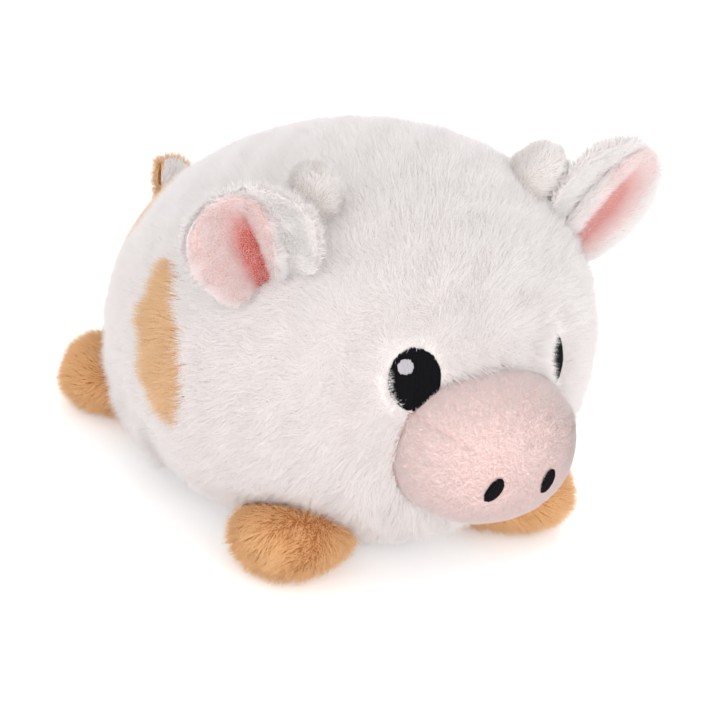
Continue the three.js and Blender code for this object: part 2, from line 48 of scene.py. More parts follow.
class Wire:
    # One socket; sums and products of wires add their Math nodes
    def __init__(self, finish, socket):
        self.finish = finish
        self.socket = socket

    def math(self, operation, *others):
        values = dict(enumerate((self, *others)))
        made = self.finish.node("ShaderNodeMath", {"operation": operation}, values)
        return Wire(self.finish, made.outputs[0])

    def __add__(self, other):
        return self.math("ADD", other)

    def __mul__(self, other):
        return self.math("MULTIPLY", other)

    def __sub__(self, other):
        return self.math("SUBTRACT", other)

    def __rsub__(self, other):
        return self * -1 + other

    __radd__ = __add__
    __rmul__ = __mul__


class Finish:
    # A material or a world, and the few ways that this file adds nodes to it
    def __init__(self, name, group="materials"):
        self.block = getattr(bpy.data, group).new(name)
        self.block.use_nodes = True
        self.tree = self.block.node_tree
        self.tree.nodes.clear()

    def node(self, kind, settings=None, values=None):
        made = self.tree.nodes.new(kind)
        for key, value in (settings or {}).items():
            setattr(made, key, value)
        for key, value in (values or {}).items():
            if isinstance(value, Wire):
                self.tree.links.new(value.socket, made.inputs[key])
            else:
                made.inputs[key].default_value = value
        return made

    def wire(self, made, output=0):
        return Wire(self, made.outputs[output])

    def place(self):
        return self.wire(self.node("ShaderNodeTexCoord"), "Object")

    def strand(self):
        # Across the map runs the tone, up the map runs the way from root to tip
        made = self.node("ShaderNodeUVMap", {"uv_map": "OFBake"})
        split = self.node("ShaderNodeSeparateXYZ", None, {0: self.wire(made)})
        return self.wire(split, 0), self.wire(split, 1)

    def mix(self, share, low, high):
        made = self.node("ShaderNodeMix", {"data_type": "RGBA"}, {0: share, 6: low, 7: high})
        return self.wire(made, 2)

    def noise(self, scale, detail):
        values = {"Vector": self.place(), "Scale": scale, "Detail": detail}
        return self.wire(self.node("ShaderNodeTexNoise", None, values))

    def bump(self, height, depth):
        return self.wire(self.node("ShaderNodeBump", None, {"Height": height, "Distance": depth}))

    def seen(self):
        # Rays from the camera, straight or by way of a shine or a clear piece
        rays = self.node("ShaderNodeLightPath")
        camera, glossy, clear = (self.wire(rays, "Is " + kind + " Ray")
                                 for kind in ("Camera", "Glossy", "Transmission"))
        return camera + glossy + clear

    def raisedWithShade(self, height, depth, low, high, roughness, **more):
        # Two shades mixed by a height, the darker where it is low as painted shade in its hollows, and a
        # surface that rises by it
        return self.surface(base_color=self.mix(height, low, high), roughness=roughness,
                            normal=self.bump(height, depth), **more)

    def surface(self, **values):
        named = {key.replace("_", " ").title().replace("Ior", "IOR"): v for key, v in values.items()}
        shader = self.node("ShaderNodeBsdfPrincipled", None, named)
        self.node("ShaderNodeOutputMaterial", None, {0: self.wire(shader)})
        return self.block


def colour(red, green, blue):
    # Screen values out of 255 to the linear values that shaders take
    share = np.array([red, green, blue]) / 255
    linear = np.where(share > 0.04045, ((share + 0.055) / 1.055) ** 2.4, share / 12.92)
    return (*(float(v) for v in linear), 1.0)


# Root and tip of the pile, for a shaded strand and for a light one: the shaded pair stands for painted shade,
# and the darker roots are painted shade deep in the pile
pileColours = dict(
    white=((238, 226, 223), (245, 235, 233), (244, 239, 238), (249, 246, 245)),
    tan=((206, 150, 100), (228, 178, 128), (232, 184, 136), (246, 210, 168)),
    hoof=((204, 142, 88), (234, 178, 122), (230, 172, 116), (249, 208, 158)),
    pink=((206, 62, 42), (222, 92, 72), (247, 231, 229), (250, 240, 239)),
    nose=((214, 140, 132), (222, 160, 153), (221, 206, 204), (227, 214, 212)),
    horn=((228, 218, 213), (236, 229, 226), (241, 235, 233), (246, 243, 241)),
)
# Two shades of the cloth that the pile grows from, most a little darker than their pile as painted shade deep
# in the pile
backingColours = dict(
    white=((222, 214, 212), (232, 226, 224)), tan=((176, 122, 76), (196, 142, 96)),
    hoof=((160, 102, 58), (180, 124, 76)), pink=((238, 198, 192), (244, 212, 207)),
    nose=((228, 198, 193), (234, 208, 204)), horn=((206, 196, 190), (220, 211, 206)),
)


def pileFinish(name, kind):
    finish = Finish(name)
    tone, rise = finish.strand()
    rootLow, tipLow, rootHigh, tipHigh = (colour(*c) for c in pileColours[kind])
    shaded = finish.mix(rise, rootLow, tipLow)
    light = finish.mix(rise, rootHigh, tipHigh)
    return finish.surface(base_color=finish.mix(tone, shaded, light), roughness=0.95,
                          specular_ior_level=0.1, sheen_weight=0.15, sheen_roughness=0.6)


def backingFinish(name, kind):
    finish = Finish(name)
    low, high = (colour(*c) for c in backingColours[kind])
    normal = finish.bump(finish.noise(900, 4), 0.0006)
    return finish.surface(base_color=finish.mix(finish.noise(240, 3), low, high), roughness=0.95,
                          specular_ior_level=0.1, normal=normal)


def threadFinish(name, shade, shine):
    finish = Finish(name)
    # The darker thread colour goes in the hollows of its bump: painted shade
    dark = tuple(0.85 * c for c in shade[:3]) + (1.0,)
    return finish.raisedWithShade(finish.noise(1600, 2), 0.0002, dark, shade, shine, specular_ior_level=0.12)


def fibreFinish(name):
    finish = Finish(name)
    return finish.raisedWithShade(finish.noise(160, 6), 0.002, colour(226, 226, 224), colour(246, 246, 244), 1.0)


def clothFinish(name):
    # Two waves at right angles make a plain weave
    finish = Finish(name)
    place = finish.place()
    threads = [finish.wire(finish.node("ShaderNodeTexWave", {"bands_direction": way},
                                       {"Vector": place, "Scale": 260.0})) for way in ("X", "Y")]
    weave = threads[0].math("MAXIMUM", threads[1])
    return finish.raisedWithShade(weave, 0.0003, colour(206, 194, 170), colour(232, 224, 204), 0.9)


def grainFinish(name):
    finish = Finish(name)
    cells = finish.node("ShaderNodeTexVoronoi", None, {"Vector": finish.place(), "Scale": 260.0})
    rise = 1 - finish.wire(cells, "Distance")
    return finish.raisedWithShade(rise, 0.0012, colour(150, 104, 52), colour(214, 172, 104), 0.7)


finishes, slots = {}, {}
for kind in pileColours:
    finishes[kind] = pileFinish(kind + "Pile", kind)
    finishes[kind + "Backing"] = backingFinish(kind + "Backing", kind)
    slots[kind] = kind + "_pile"
finishes["blackThread"] = threadFinish("blackThread", colour(11, 10, 14), 0.85)
finishes["paleThread"] = threadFinish("paleThread", colour(182, 177, 183), 0.7)
finishes["fibre"] = fibreFinish("stuffingFibre")
finishes["cloth"] = clothFinish("pouchCloth")
finishes["grain"] = grainFinish("pouchGrain")
slots.update(nose="pink_pile", blackThread="black_thread", paleThread="pale_thread", fibre="fibre",
             cloth="pouch_cloth", grain="grain")
print("finishes made")


# Arrays

def unit(vectors):
    return vectors / np.maximum(np.linalg.norm(vectors, axis=-1, keepdims=True), 1e-9)


def dot(a, b):
    return np.sum(a * b, axis=-1, keepdims=True)


def stacked(*parts):
    return np.stack(np.broadcast_arrays(*parts), axis=-1)


def turnedAbout(points, hinge, axis, degrees):
    # Rotation about a line, by the axis-angle formula
    axis = np.array(axis, float)
    angle = math.radians(degrees)
    away = points - hinge
    across = np.cross(np.broadcast_to(axis, away.shape), away)
    return (hinge + away * math.cos(angle) + across * math.sin(angle)
            + axis * dot(away, axis) * (1 - math.cos(angle)))


def waves(points, size, seed):
    # Smooth noise from -1 to 1: a sum of sines in random directions, each about size mm long
    source = np.random.default_rng(seed)
    total = 0
    for k in range(7):
        way = unit(source.normal(size=3)) * (2 * math.pi / (size * source.uniform(0.7, 1.5)))
        total = total + np.sin(points @ way + source.uniform(0, 6.28))
    return total / 4


def cellMiddles(points, size, seed):
    # The nearest of one jittered point in each cube of a lattice, for every point. A sine times a large
    # number has a fraction that is as good as random, one for each axis.
    home = np.floor(points / size)
    best = np.full(len(points), np.inf)
    middles = np.zeros_like(points)
    for offset in np.ndindex(3, 3, 3):
        cell = home + np.array(offset) - 1
        mixed = np.stack([np.sin(cell @ np.array(way) + seed) * 43758.5 for way in
                          ((12.99, 78.23, 37.72), (39.35, 11.13, 83.15), (73.16, 52.24, 9.15))], axis=-1)
        spot = (cell + mixed - np.floor(mixed)) * size
        gap = np.sum((spot - points) ** 2, axis=-1)
        nearer = gap < best
        best[nearer] = gap[nearer]
        middles[nearer] = spot[nearer]
    return middles


def sown(shape, density, spanT, cells=(220, 300)):
    # Places spread evenly by area: cells are drawn by their size, then a random place in each.
    # It gives their two parameters, their points and the outward normals there.
    t = np.linspace(*spanT, cells[0] + 1)
    u = np.linspace(0, 2 * math.pi, cells[1] + 1)
    points = shape(t[:, None], u[None, :])
    sides = np.cross(points[1:, :-1] - points[:-1, :-1], points[:-1, 1:] - points[:-1, :-1])
    area = np.linalg.norm(sides, axis=-1).ravel()
    count = int(density * area.sum())
    heap = np.cumsum(area) / area.sum()
    cell = np.minimum(np.searchsorted(heap, (np.arange(count) + rng.random(count)) / count), len(heap) - 1)
    i, j = np.divmod(cell, cells[1])
    t, u = t[i] + rng.random(count) * (t[1] - t[0]), u[j] + rng.random(count) * (u[1] - u[0])
    return t, u, shape(t, u), unit(crossOf(shape, t, u)) * outwardSign(shape)


def crossOf(shape, t, u, step=1e-3):
    # Cross product of a small step along each parameter
    return np.cross(shape(t + step, u) - shape(t - step, u), shape(t, u + step) - shape(t, u - step))


def outwardSign(shape):
    # Positive where those cross products point away from the middle, summed over the form
    t = np.linspace(0.05, math.pi - 0.05, 40)[:, None]
    u = np.linspace(0, 2 * math.pi, 61)[None, :-1]
    points = shape(t, u)
    return 1 if np.sum(crossOf(shape, t, u) * (points - points.reshape(-1, 3).mean(axis=0))) > 0 else -1


def wayAlong(shape, t, u, step=1e-3):
    return unit(shape(t + step, u) - shape(t - step, u))


# Meshes

def snake(name):
    # The name of a node or a body: earOuterLeft gives ear_outer_left
    return re.sub("([A-Z])", r"_\1", name).lower()


def objectFrom(mesh, name, finish, bodyName):
    made = bpy.data.objects.new(name, mesh)
    bpy.context.scene.collection.objects.link(made)
    mesh.materials.append(finishes[finish])
    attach(made, bodyName)
    return made


def meshFrom(name, points, faces):
    mesh = bpy.data.meshes.new(name)
    mesh.from_pydata((points * mm).tolist(), [], faces)
    mesh.polygons.foreach_set("use_smooth", np.ones(len(mesh.polygons), bool))
    mesh.update()
    return mesh


def facesOutward(mesh):
    shell = bmesh.new()
    shell.from_mesh(mesh)
    bmesh.ops.remove_doubles(shell, verts=shell.verts, dist=1e-6)
    bmesh.ops.recalc_face_normals(shell, faces=shell.faces)
    shell.to_mesh(mesh)
    shell.free()
    return mesh


def closedForm(name, shape, rows, columns):
    # A pole, rings of points and a pole, joined into one closed surface
    t = np.linspace(0, math.pi, rows + 1)[1:-1]
    u = np.linspace(0, 2 * math.pi, columns + 1)[:-1]
    rings = shape(t[:, None], u[None, :]).reshape(-1, 3)
    ends = shape(np.array([0, math.pi]), np.array([0.0, 0.0]))
    points = np.concatenate([ends[:1], rings, ends[1:]])
    ring, column = np.meshgrid(np.arange(rows - 2), np.arange(columns), indexing="ij")
    beside = (column + 1) % columns
    here = 1 + ring * columns
    quads = np.stack([here + column, here + columns + column, here + columns + beside, here + beside], -1)
    edge = np.arange(columns)
    first = np.stack([0 * edge, 1 + edge, 1 + (edge + 1) % columns], -1)
    low = len(points) - 1 - columns
    last = np.stack([0 * edge + len(points) - 1, low + (edge + 1) % columns, low + edge], -1)
    faces = quads.reshape(-1, 4).tolist() + first.tolist() + last.tolist()
    return facesOutward(meshFrom(name, points, faces))


def backing(name, shape, kind, bodyName, node, cells):
    # The closed cloth below a coat, in place of a solid
    made = objectFrom(closedForm(name, shape, *cells), name, kind + "Backing", bodyName)
    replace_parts(made, node)


def pileMesh(name, points, normals, tones):
    # A strand is a roof of two faces and a floor of one: left, ridge, right and tip, then left, right and tip
    count = len(points)
    corners = np.array([0, 1, 3, 1, 2, 3, 4, 6, 5])
    loops = (np.arange(count)[:, None] * 7 + corners).ravel()
    mesh = bpy.data.meshes.new(name)
    mesh.vertices.add(count * 7)
    mesh.vertices.foreach_set("co", (points * mm).astype(np.float32).ravel())
    mesh.loops.add(len(loops))
    mesh.loops.foreach_set("vertex_index", loops.astype(np.int32))
    mesh.polygons.add(count * 3)
    mesh.polygons.foreach_set("loop_start", np.arange(0, count * 9, 3, dtype=np.int32))
    mesh.polygons.foreach_set("use_smooth", np.ones(count * 3, bool))
    mesh.update(calc_edges=True)
    spread = np.clip(tones[:, None] + np.array([-1, 0, 1, 0, -1, 1, 0]) * 0.006, 0.01, 0.99)
    rises = np.broadcast_to(np.array([0.02, 0.02, 0.02, 0.98, 0.02, 0.02, 0.98]), (count, 7))
    spread = np.stack([spread, rises], axis=-1).reshape(-1, 2)
    mesh.uv_layers.new(name="OFBake").data.foreach_set("uv", spread[loops].astype(np.float32).ravel())
    mesh.normals_split_custom_set_from_vertices(normals.reshape(-1, 3))
    return mesh


# Lean is in radians here; width is the share of a strand's width that all have, and what some have on top
strand = dict(perPiece=65000, lean=(0.1, 1.35), width=(0.38, 0.25), leanStray=0.6, reachSwell=0.08,
              floor=0.15, tones=(0.03, 0.97))
# What most coats share, in mm and degrees: each strand's size and lean, how far it strays, the tufts that
# strands gather to, and how evenly they are shaded. A coat's density is strands for each square millimetre.
pile = dict(width=0.22, lean=44, uneven=8, wander=40, stray=16, swirl=9, ragged=0.6, tuft=3.0, gather=0.3,
            dome=0.15, roll=35, sunk=0.3, smooth=0.95, grit=0.05, tone=0.05)
lightWay = unit(np.array([-0.55, -0.6, 0.6]))


def growPile(name, bodyName, kind, roots, normals, nap, look, lengths=1.0, tones=0.75, lit=0.0, stand=0.0,
             calm=0.0):
    # Each strand leans from the normal towards the nap, and its tip is drawn to the middle of its tuft.
    # It is shaded as the skin below it is; lit turns that shading towards the main light. Stand sets the
    # strand upright, or flatter where it is negative, and calm keeps it from straying.
    count = len(roots)
    lengths, tones = np.broadcast_to(lengths, count), np.broadcast_to(tones, count)
    nap = unit(nap - normals * dot(nap, normals))
    wander = np.radians(look["wander"]) * waves(roots, look["swirl"], 3)[:, None]
    wander = (wander + np.radians(look["stray"]) * rng.normal(size=(count, 1))) * (1 - calm)
    nap = nap * np.cos(wander) + np.cross(normals, nap) * np.sin(wander)
    lean = np.radians(look["lean"] + look["uneven"] * waves(roots, look["swirl"] * 0.5, 5)
                      + look["stray"] * strand["leanStray"] * rng.normal(size=count))[:, None]
    lean = np.clip(np.clip(lean, *strand["lean"]) * (1 - stand), *strand["lean"])
    reach = look["length"] * lengths * (1 + look["ragged"] * (rng.random(count) - 0.5))
    reach = (reach * (1 + strand["reachSwell"] * waves(roots, look["swirl"], 9)))[:, None]
    tuft = cellMiddles(roots, look["tuft"], 1.7) - roots
    tuft = tuft - normals * dot(tuft, normals)
    along = normals * np.cos(lean) + nap * np.sin(lean)
    root = roots - normals * look["sunk"]
    tip = root + along * reach + tuft * look["gather"]
    tip[:, 2] = np.maximum(tip[:, 2], strand["floor"])
    along = unit(tip - root)
    rise = unit(normals - along * dot(normals, along))
    roll = np.radians(look["roll"]) * (rng.random((count, 1)) * 2 - 1)
    side = np.cross(along, rise)
    side, rise = side * np.cos(roll) + rise * np.sin(roll), rise * np.cos(roll) - side * np.sin(roll)
    half = look["width"] * (strand["width"][0] + strand["width"][1] * rng.random((count, 1)))
    left, right, ridge = root - side * half, root + side * half, root + rise * half
    points = np.stack([left, ridge, right, tip, left, right, tip], axis=1)
    # The roof is shaded as the skin is, the floor along the strand
    shading = unit(normals * look["smooth"] + lit * lightWay - tuft / look["tuft"] * look["dome"]
                   + rise * (1 - look["smooth"]) + look["grit"] * rng.normal(size=(count, 3)))
    below = unit(along * 0.95 - rise * 0.25)
    shading = np.stack([shading] * 4 + [below] * 3, axis=1)
    tone = tones + look["tone"] * (rng.normal(size=count) + waves(roots, look["swirl"] * 0.6, 13))
    tone = np.clip(tone, *strand["tones"])
    # A coat with many strands is cut into pieces from one side to the other
    parts = max(1, math.ceil(count / strand["perPiece"]))
    order = np.array_split(np.argsort(np.round(roots[:, 0] / 4) + roots[:, 1] / 1000), parts)
    for number, mine in enumerate(order):
        label = name + (str(number + 1) if parts > 1 else "")
        objectFrom(pileMesh(label, points[mine], shading[mine], tone[mine]), label, kind, bodyName)


# Body and head

body = dict(length=229, width=185, height=157, crownTaper=0.45, crownRoundness=1.6, rumpFullness=0.2,
            bellyTaper=0.1, bellyRoundness=1.05, bellyFullness=0.2, bellyBlend=0.05,
            restDepth=73, middleY=3.1095, neckY=-38, neckLean=22, underSeam=-58)
bodyMiddle = np.array([0, body["middleY"], body["restDepth"]])


def sectionSize(along, u):
    # A sine power times a taper above, another below, blended by the height round the section
    across = np.sqrt(np.maximum(1 - along * along, 0))
    back = np.minimum(along, 0)
    above = across ** (body["crownRoundness"] + body["rumpFullness"] * back)
    above = above * (1 + body["crownTaper"] * along)
    widening = body["bellyTaper"] * (along + np.sqrt(along * along + body["bellyBlend"]))
    below = across ** (body["bellyRoundness"] + body["bellyFullness"] * back) * (1 + widening)
    return above + (below - above) * ((1 - np.sin(u)) / 2) ** 2


def bodyForm(t, u):
    # Length runs with the cosine of t; the section is an ellipse round the axis, times its size
    along = np.cos(t)
    size = sectionSize(along, u)
    points = stacked(body["width"] / 2 * size * np.cos(u), -body["length"] / 2 * along,
                     body["height"] / 2 * size * np.sin(u))
    points = points + bodyMiddle
    points[..., 2] = np.maximum(points[..., 2], 0)
    return points


def bodyShare(points):
    # How far out from the axis a point lies, 1 on the surface
    away = points - bodyMiddle
    along = np.clip(-away[..., 1] / (body["length"] / 2), -0.9999, 0.9999)
    across, up = away[..., 0] / (body["width"] / 2), away[..., 2] / (body["height"] / 2)
    share = np.hypot(across, up) / np.maximum(sectionSize(along, np.arctan2(up, across)), 1e-4)
    beyond = np.abs(away[..., 1]) / (body["length"] / 2)
    return np.maximum(share, np.where(beyond > 0.9999, beyond + 0.2, 0))


def clearOfBody(points, way, gap=0.4, turns=()):
    # Points that lie in the body slide along a direction to its surface, found by halving
    def inside(places):
        found = bodyShare(places) < 1 + gap / 80
        for hinge, axis, degrees in turns:
            found |= bodyShare(turnedAbout(places, hinge, axis, -degrees)) < 1 + gap / 80
        return found

    buried = inside(points)
    low = np.zeros(points.shape[:-1])
    high = np.full(points.shape[:-1], 70.0)
    for k in range(16):
        middle = (low + high) / 2
        still = inside(points + way * middle[..., None])
        low, high = np.where(still, middle, low), np.where(still, high, middle)
    return np.where(buried[..., None], points + way * high[..., None], points), buried


def headPlace(turn, lift, side):
    u = math.radians(lift if side > 0 else 180 - lift)
    place = np.array([math.radians(turn)]), np.array([u])
    return bodyForm(*place)[0], unit(crossOf(bodyForm, *place))[0]


patches = dict(
    flank=dict(length=58, width=30, middle=7, bow=0.6, waves=9, edge=(-43.4, 0.16, 0.0145)),
    rump=dict(x=-0.52, y=0.78, z=0.28, long=44, wide=34, turn=30, grow=1.12),
    side=dict(x=0.9, y=0.3, z=0.32, long=48, wide=38, turn=-15, grow=1),
    wave=0.07, rounds=3, start=32,
)


def inOval(points, patch):
    # Inside an oval with three slight waves, seen along the patch's direction
    direction = Vector((patch["x"], patch["y"], patch["z"])).normalized()
    turn = np.array(Vector((0, 0, 1)).rotation_difference(direction).to_matrix())
    local = (points - bodyMiddle - patches["start"] * np.array(direction)) @ turn
    spin = math.radians(patch["turn"])
    x = local[:, 0] * math.cos(spin) + local[:, 1] * math.sin(spin)
    y = local[:, 1] * math.cos(spin) - local[:, 0] * math.sin(spin)
    u = np.arctan2(y / patch["wide"], x / patch["long"])
    swell = (1 + patches["wave"] * np.sin(patches["rounds"] * u)) * patch["grow"]
    return (local[:, 2] > 0) & (np.hypot(2 * x / patch["long"], 2 * y / patch["wide"]) < swell)


def inFlank(points):
    # Behind the neck seam, where the pile's edge is a parabola in height, inside a bow with a slight wave
    flank = patches["flank"]
    away = points - bodyMiddle
    start, slope, curve = flank["edge"]
    back = away[:, 1] - start - slope * away[:, 2] - curve * away[:, 2] ** 2
    along = (away[:, 2] - flank["middle"]) / (flank["length"] / 2)
    bow = np.maximum(1 - along * along, 0) ** flank["bow"]
    bow = bow * (1 + patches["wave"] * np.sin(flank["waves"] * along))
    return (points[:, 0] < 0) & (np.abs(along) < 1) & (back > 0) & (back < flank["width"] * bow)


def panelOf(points):
    lean = math.radians(body["neckLean"])
    away = points - bodyMiddle - np.array([0, body["neckY"], 0])
    behind = away[:, 1] * math.cos(lean) - away[:, 2] * math.sin(lean) > 0
    panel = np.where(behind, np.where(points[:, 0] < 0, "backPanelRight", "backPanelLeft"), "headPanel")
    panel = np.where(inFlank(points), "flankPatchRight", panel)
    panel = np.where(behind & (points[:, 0] < 0) & inOval(points, patches["rump"]), "rumpPatch", panel)
    panel = np.where(behind & (points[:, 0] > 0) & inOval(points, patches["side"]), "sidePatchLeft", panel)
    return np.where(points[:, 2] < body["restDepth"] + body["underSeam"], "bellyPanel", panel)


panels = {"headPanel": "white", "backPanelRight": "white", "backPanelLeft": "white", "bellyPanel": "white",
          "flankPatchRight": "tan", "rumpPatch": "tan", "sidePatchLeft": "tan"}


def fromNode(name, finish, bodyName, cuts, lift):
    # A copy of the solid with the same name, cut finer. Lift then moves its points: it is given them, and
    # how far out from the body's axis the corners lay that they come from.
    node = snake(name)
    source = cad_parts[node].data.copy()
    points = np.zeros(len(source.vertices) * 3)
    source.vertices.foreach_get("co", points)
    shares = bodyShare(points.reshape(-1, 3) / mm)
    source.attributes.new("share", "FLOAT", "POINT").data.foreach_set("value", shares)
    shell = bmesh.new()
    shell.from_mesh(source)
    bpy.data.meshes.remove(source)
    bmesh.ops.remove_doubles(shell, verts=shell.verts, dist=2e-6)
    bmesh.ops.subdivide_edges(shell, edges=shell.edges, cuts=cuts, use_grid_fill=True)
    mesh = bpy.data.meshes.new(name)
    shell.to_mesh(mesh)
    shell.free()
    points, shares = np.zeros(len(mesh.vertices) * 3), np.zeros(len(mesh.vertices))
    mesh.vertices.foreach_get("co", points)
    mesh.attributes["share"].data.foreach_get("value", shares)
    mesh.attributes.remove(mesh.attributes["share"])
    points = lift(points.reshape(-1, 3) / mm, shares)
    mesh.vertices.foreach_set("co", (points * mm).ravel())
    mesh.polygons.foreach_set("use_smooth", np.ones(len(mesh.polygons), bool))
    mesh.update()
    made = objectFrom(mesh, name, finish, bodyName)
    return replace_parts(made, node)


def roundedOut(points, shares):
    # Scaled from the body's axis until each point is as far out as its corners were
    now = np.maximum(bodyShare(points), 1e-3)
    scale = np.where((shares > 0.5) & (shares < 1.1), np.clip(shares / now, 0.98, 1.03), 1)[:, None]
    away = points - bodyMiddle
    flat = points[:, 2] < 4
    away[:, [0, 2]] *= np.where(flat[:, None], 1, scale)
    lifted = away + bodyMiddle
    lifted[:, 2] = np.maximum(lifted[:, 2], 0)
    return lifted


for panel, kind in panels.items():
    made = fromNode(panel, kind + "Backing", "torso", 2, roundedOut)
print("cover panels made")


# Muzzle

muzzle = dict(width=75, height=60, reach=29.5, y=-107, z=-9.5, bluntness=0.73, squareness=0.93)
darts = dict(middles=(153, 27), end=35, fade=12, width=0.45, rise=0.9, foldAside=1.3, foldWidth=0.8)
nostrils = dict(width=6.4, height=10.4, base=0.35, rise=0.7, pitch=0.36, clear=1.08,
                spread=25.5, shift=-1.6, drop=5, tiltRight=-20, tiltLeft=8)
muzzleMiddle = bodyMiddle + np.array([0, muzzle["y"], muzzle["z"]])


def eased(share, power):
    return np.sign(share) * np.abs(share) ** power


def muzzleForm(t, u):
    # A blunt ellipsoid with its pole at the nose; its outline is a slightly squared oval
    across = np.maximum(np.sin(t), 0) ** muzzle["bluntness"]
    wide, high = (eased(way, muzzle["squareness"]) for way in (np.cos(u), np.sin(u)))
    return stacked(muzzle["width"] / 2 * across * wide, -muzzle["reach"] * np.cos(t) + 0 * u,
                   muzzle["height"] / 2 * across * high) + muzzleMiddle


def muzzleSkin(t, u):
    return clearOfBody(muzzleForm(t, u), np.array([0, -1.0, 0]))[0]


def muzzleShare(points):
    # How far out from its middle a point lies, 1 on the surface
    away = points - muzzleMiddle
    along = np.clip(-away[..., 1] / muzzle["reach"], -0.9999, 0.9999)
    size = np.sqrt(1 - along * along) ** muzzle["bluntness"]
    power = 2 / muzzle["squareness"]
    ring = (np.abs(away[..., 0] / (muzzle["width"] / 2)) ** power
            + np.abs(away[..., 2] / (muzzle["height"] / 2)) ** power)
    share = ring ** (1 / power) / size
    return np.where(np.abs(away[..., 1]) < muzzle["reach"] * 0.9999, share, 2)


def nostrilOffset(side, forward=0):
    # From the muzzle's middle to a nostril's
    return np.array([side * nostrils["spread"] / 2 + nostrils["shift"], forward, -nostrils["drop"]])


backing("muzzleCover", muzzleSkin, "nose", "torso", "muzzle_cover", (60, 90))

muzzlePile = dict(pile, length=1.5, width=0.24, lean=34, wander=50, swirl=7, ragged=0.4, tuft=0.9, gather=0,
                  dome=0, roll=30, smooth=0.97, grit=0.1, tone=0.06, density=7.5)
# Longer hair at its edge: a fringe that leans back, painted coral as shade at the seam, and white hair of the
# head that lies over it
muzzleFringe = dict(muzzlePile, length=5.4, lean=44, wander=24, density=6)
muzzleLap = dict(pile, length=6.4, lean=52, wander=30, stray=14, swirl=10, dome=0.1, sunk=0.4)


def muzzlePlaces():
    # Places over the muzzle that the body and the nostrils leave free
    t, u, roots, normals = sown(muzzleForm, muzzlePile["density"], (0, math.pi * 0.62), (1200, 160))
    keep = bodyShare(roots) > 0.99
    for word, side in (("Right", -1), ("Left", 1)):
        away = roots - muzzleMiddle - nostrilOffset(side)
        tilt = math.radians(side * nostrils["tilt" + word])
        x = away[:, 0] * math.cos(tilt) - away[:, 2] * math.sin(tilt)
        z = away[:, 2] * math.cos(tilt) + away[:, 0] * math.sin(tilt)
        ring = np.hypot(2 * x / nostrils["width"], 2 * z / nostrils["height"])
        keep &= ~((away[:, 1] < 0) & (ring < nostrils["clear"]))
    return t[keep], u[keep], roots[keep], normals[keep]


t, u, roots, normals = muzzlePlaces()
# It parts along two darts, which run from the seam towards the nose, and folds in beside them
dart, fold = np.zeros(len(t)), np.zeros(len(t))
for middle in darts["middles"]:
    middle = math.radians(middle)
    offset = (u - middle) * np.sin(t) * muzzle["width"] / 2 * np.sign(math.cos(middle))
    ran = np.clip((np.degrees(t) - darts["end"]) / darts["fade"], 0, 1)
    dart += np.exp(-(offset / darts["width"]) ** 2) * ran
    fold += np.exp(-((offset - darts["foldAside"]) / darts["foldWidth"]) ** 2) * ran
nap = wayAlong(muzzleForm, t, u)
# Shares of the way to its edge, its lower side, its nose and the upper side of the nose
outside = bodyShare(roots) - 1
edge = np.clip(outside / 0.1, 0, 1)
low = np.clip((0.2 - np.cos(u)) / 0.5, 0, 1)
nose = np.cos(t) ** 2
brow = np.exp(-((t - 0.6) / 0.4) ** 2) * np.clip(np.sin(u) + 0.3, 0, 1)
# Painted light and shade: the top lighter, the nose front darker, the fold beside each dart darker, the
# dart's ridge lighter as a painted highlight, and the edge darker and deeper pink towards its seam, most on
# the lower side, as painted shade where it meets the head
tones = (0.9 + 0.08 * np.clip(np.sin(u), 0, 1) - 0.12 * nose - 0.4 * fold + 0.2 * dart
         - (0.2 + 0.35 * low) * (1 - edge) ** 1.5)
lit = 0.35 * np.abs(np.sin(u)) * np.sin(t) * edge - 0.2 * nose - 0.4 * brow
growPile("muzzlePile", "torso", "nose", roots + darts["rise"] * dart[:, None] * normals, normals, nap,
         muzzlePile, (0.9 + 0.9 * (1 - edge)) * (1 - 0.3 * fold + 0.3 * dart), tones, lit[:, None],
         0.5 * edge[:, None])
fringed = np.exp(-(outside / 0.06) ** 2) * low * muzzleFringe["density"] / muzzlePile["density"]
picked = rng.random(len(t)) < fringed
growPile("muzzleFringe", "torso", "pink", roots[picked], normals[picked], nap[picked], muzzleFringe,
         1.0, 0.36, stand=0.1)
lapped = np.exp(-(outside / 0.07) ** 2) * np.clip(1.2 * np.sin(u) - 0.7 + 0.6 * np.cos(u), 0, 1)
picked = rng.random(len(t)) < lapped
growPile("muzzleLap", "torso", "white", roots[picked], normals[picked], -nap[picked], muzzleLap)
print("muzzle made")


# Eyes and nostrils

def ontoSurface(points, way, share, reach=14):
    # Along a direction, the place where a share passes 1, found by halving
    low = np.full(points.shape[:-1], -float(reach))
    high = -low
    for k in range(18):
        middle = (low + high) / 2
        inner = share(points + way * middle[..., None]) < 1
        low, high = np.where(inner, middle, low), np.where(inner, high, middle)
    return points + way * high[..., None]


def facing(way):
    # The level and the upright direction across a way
    sideways = unit(np.cross(np.array([0, 0, 1.0]), way))
    return sideways, np.cross(way, sideways)


thread = dict(steps=13, sides=6, uneven=(-0.1, 0.55), wander=0.05, lift=0.04, thick=0.7, flat=0.7,
              domeWider=0.6, domeHigher=1.4, bluntness=8, least=0.02)


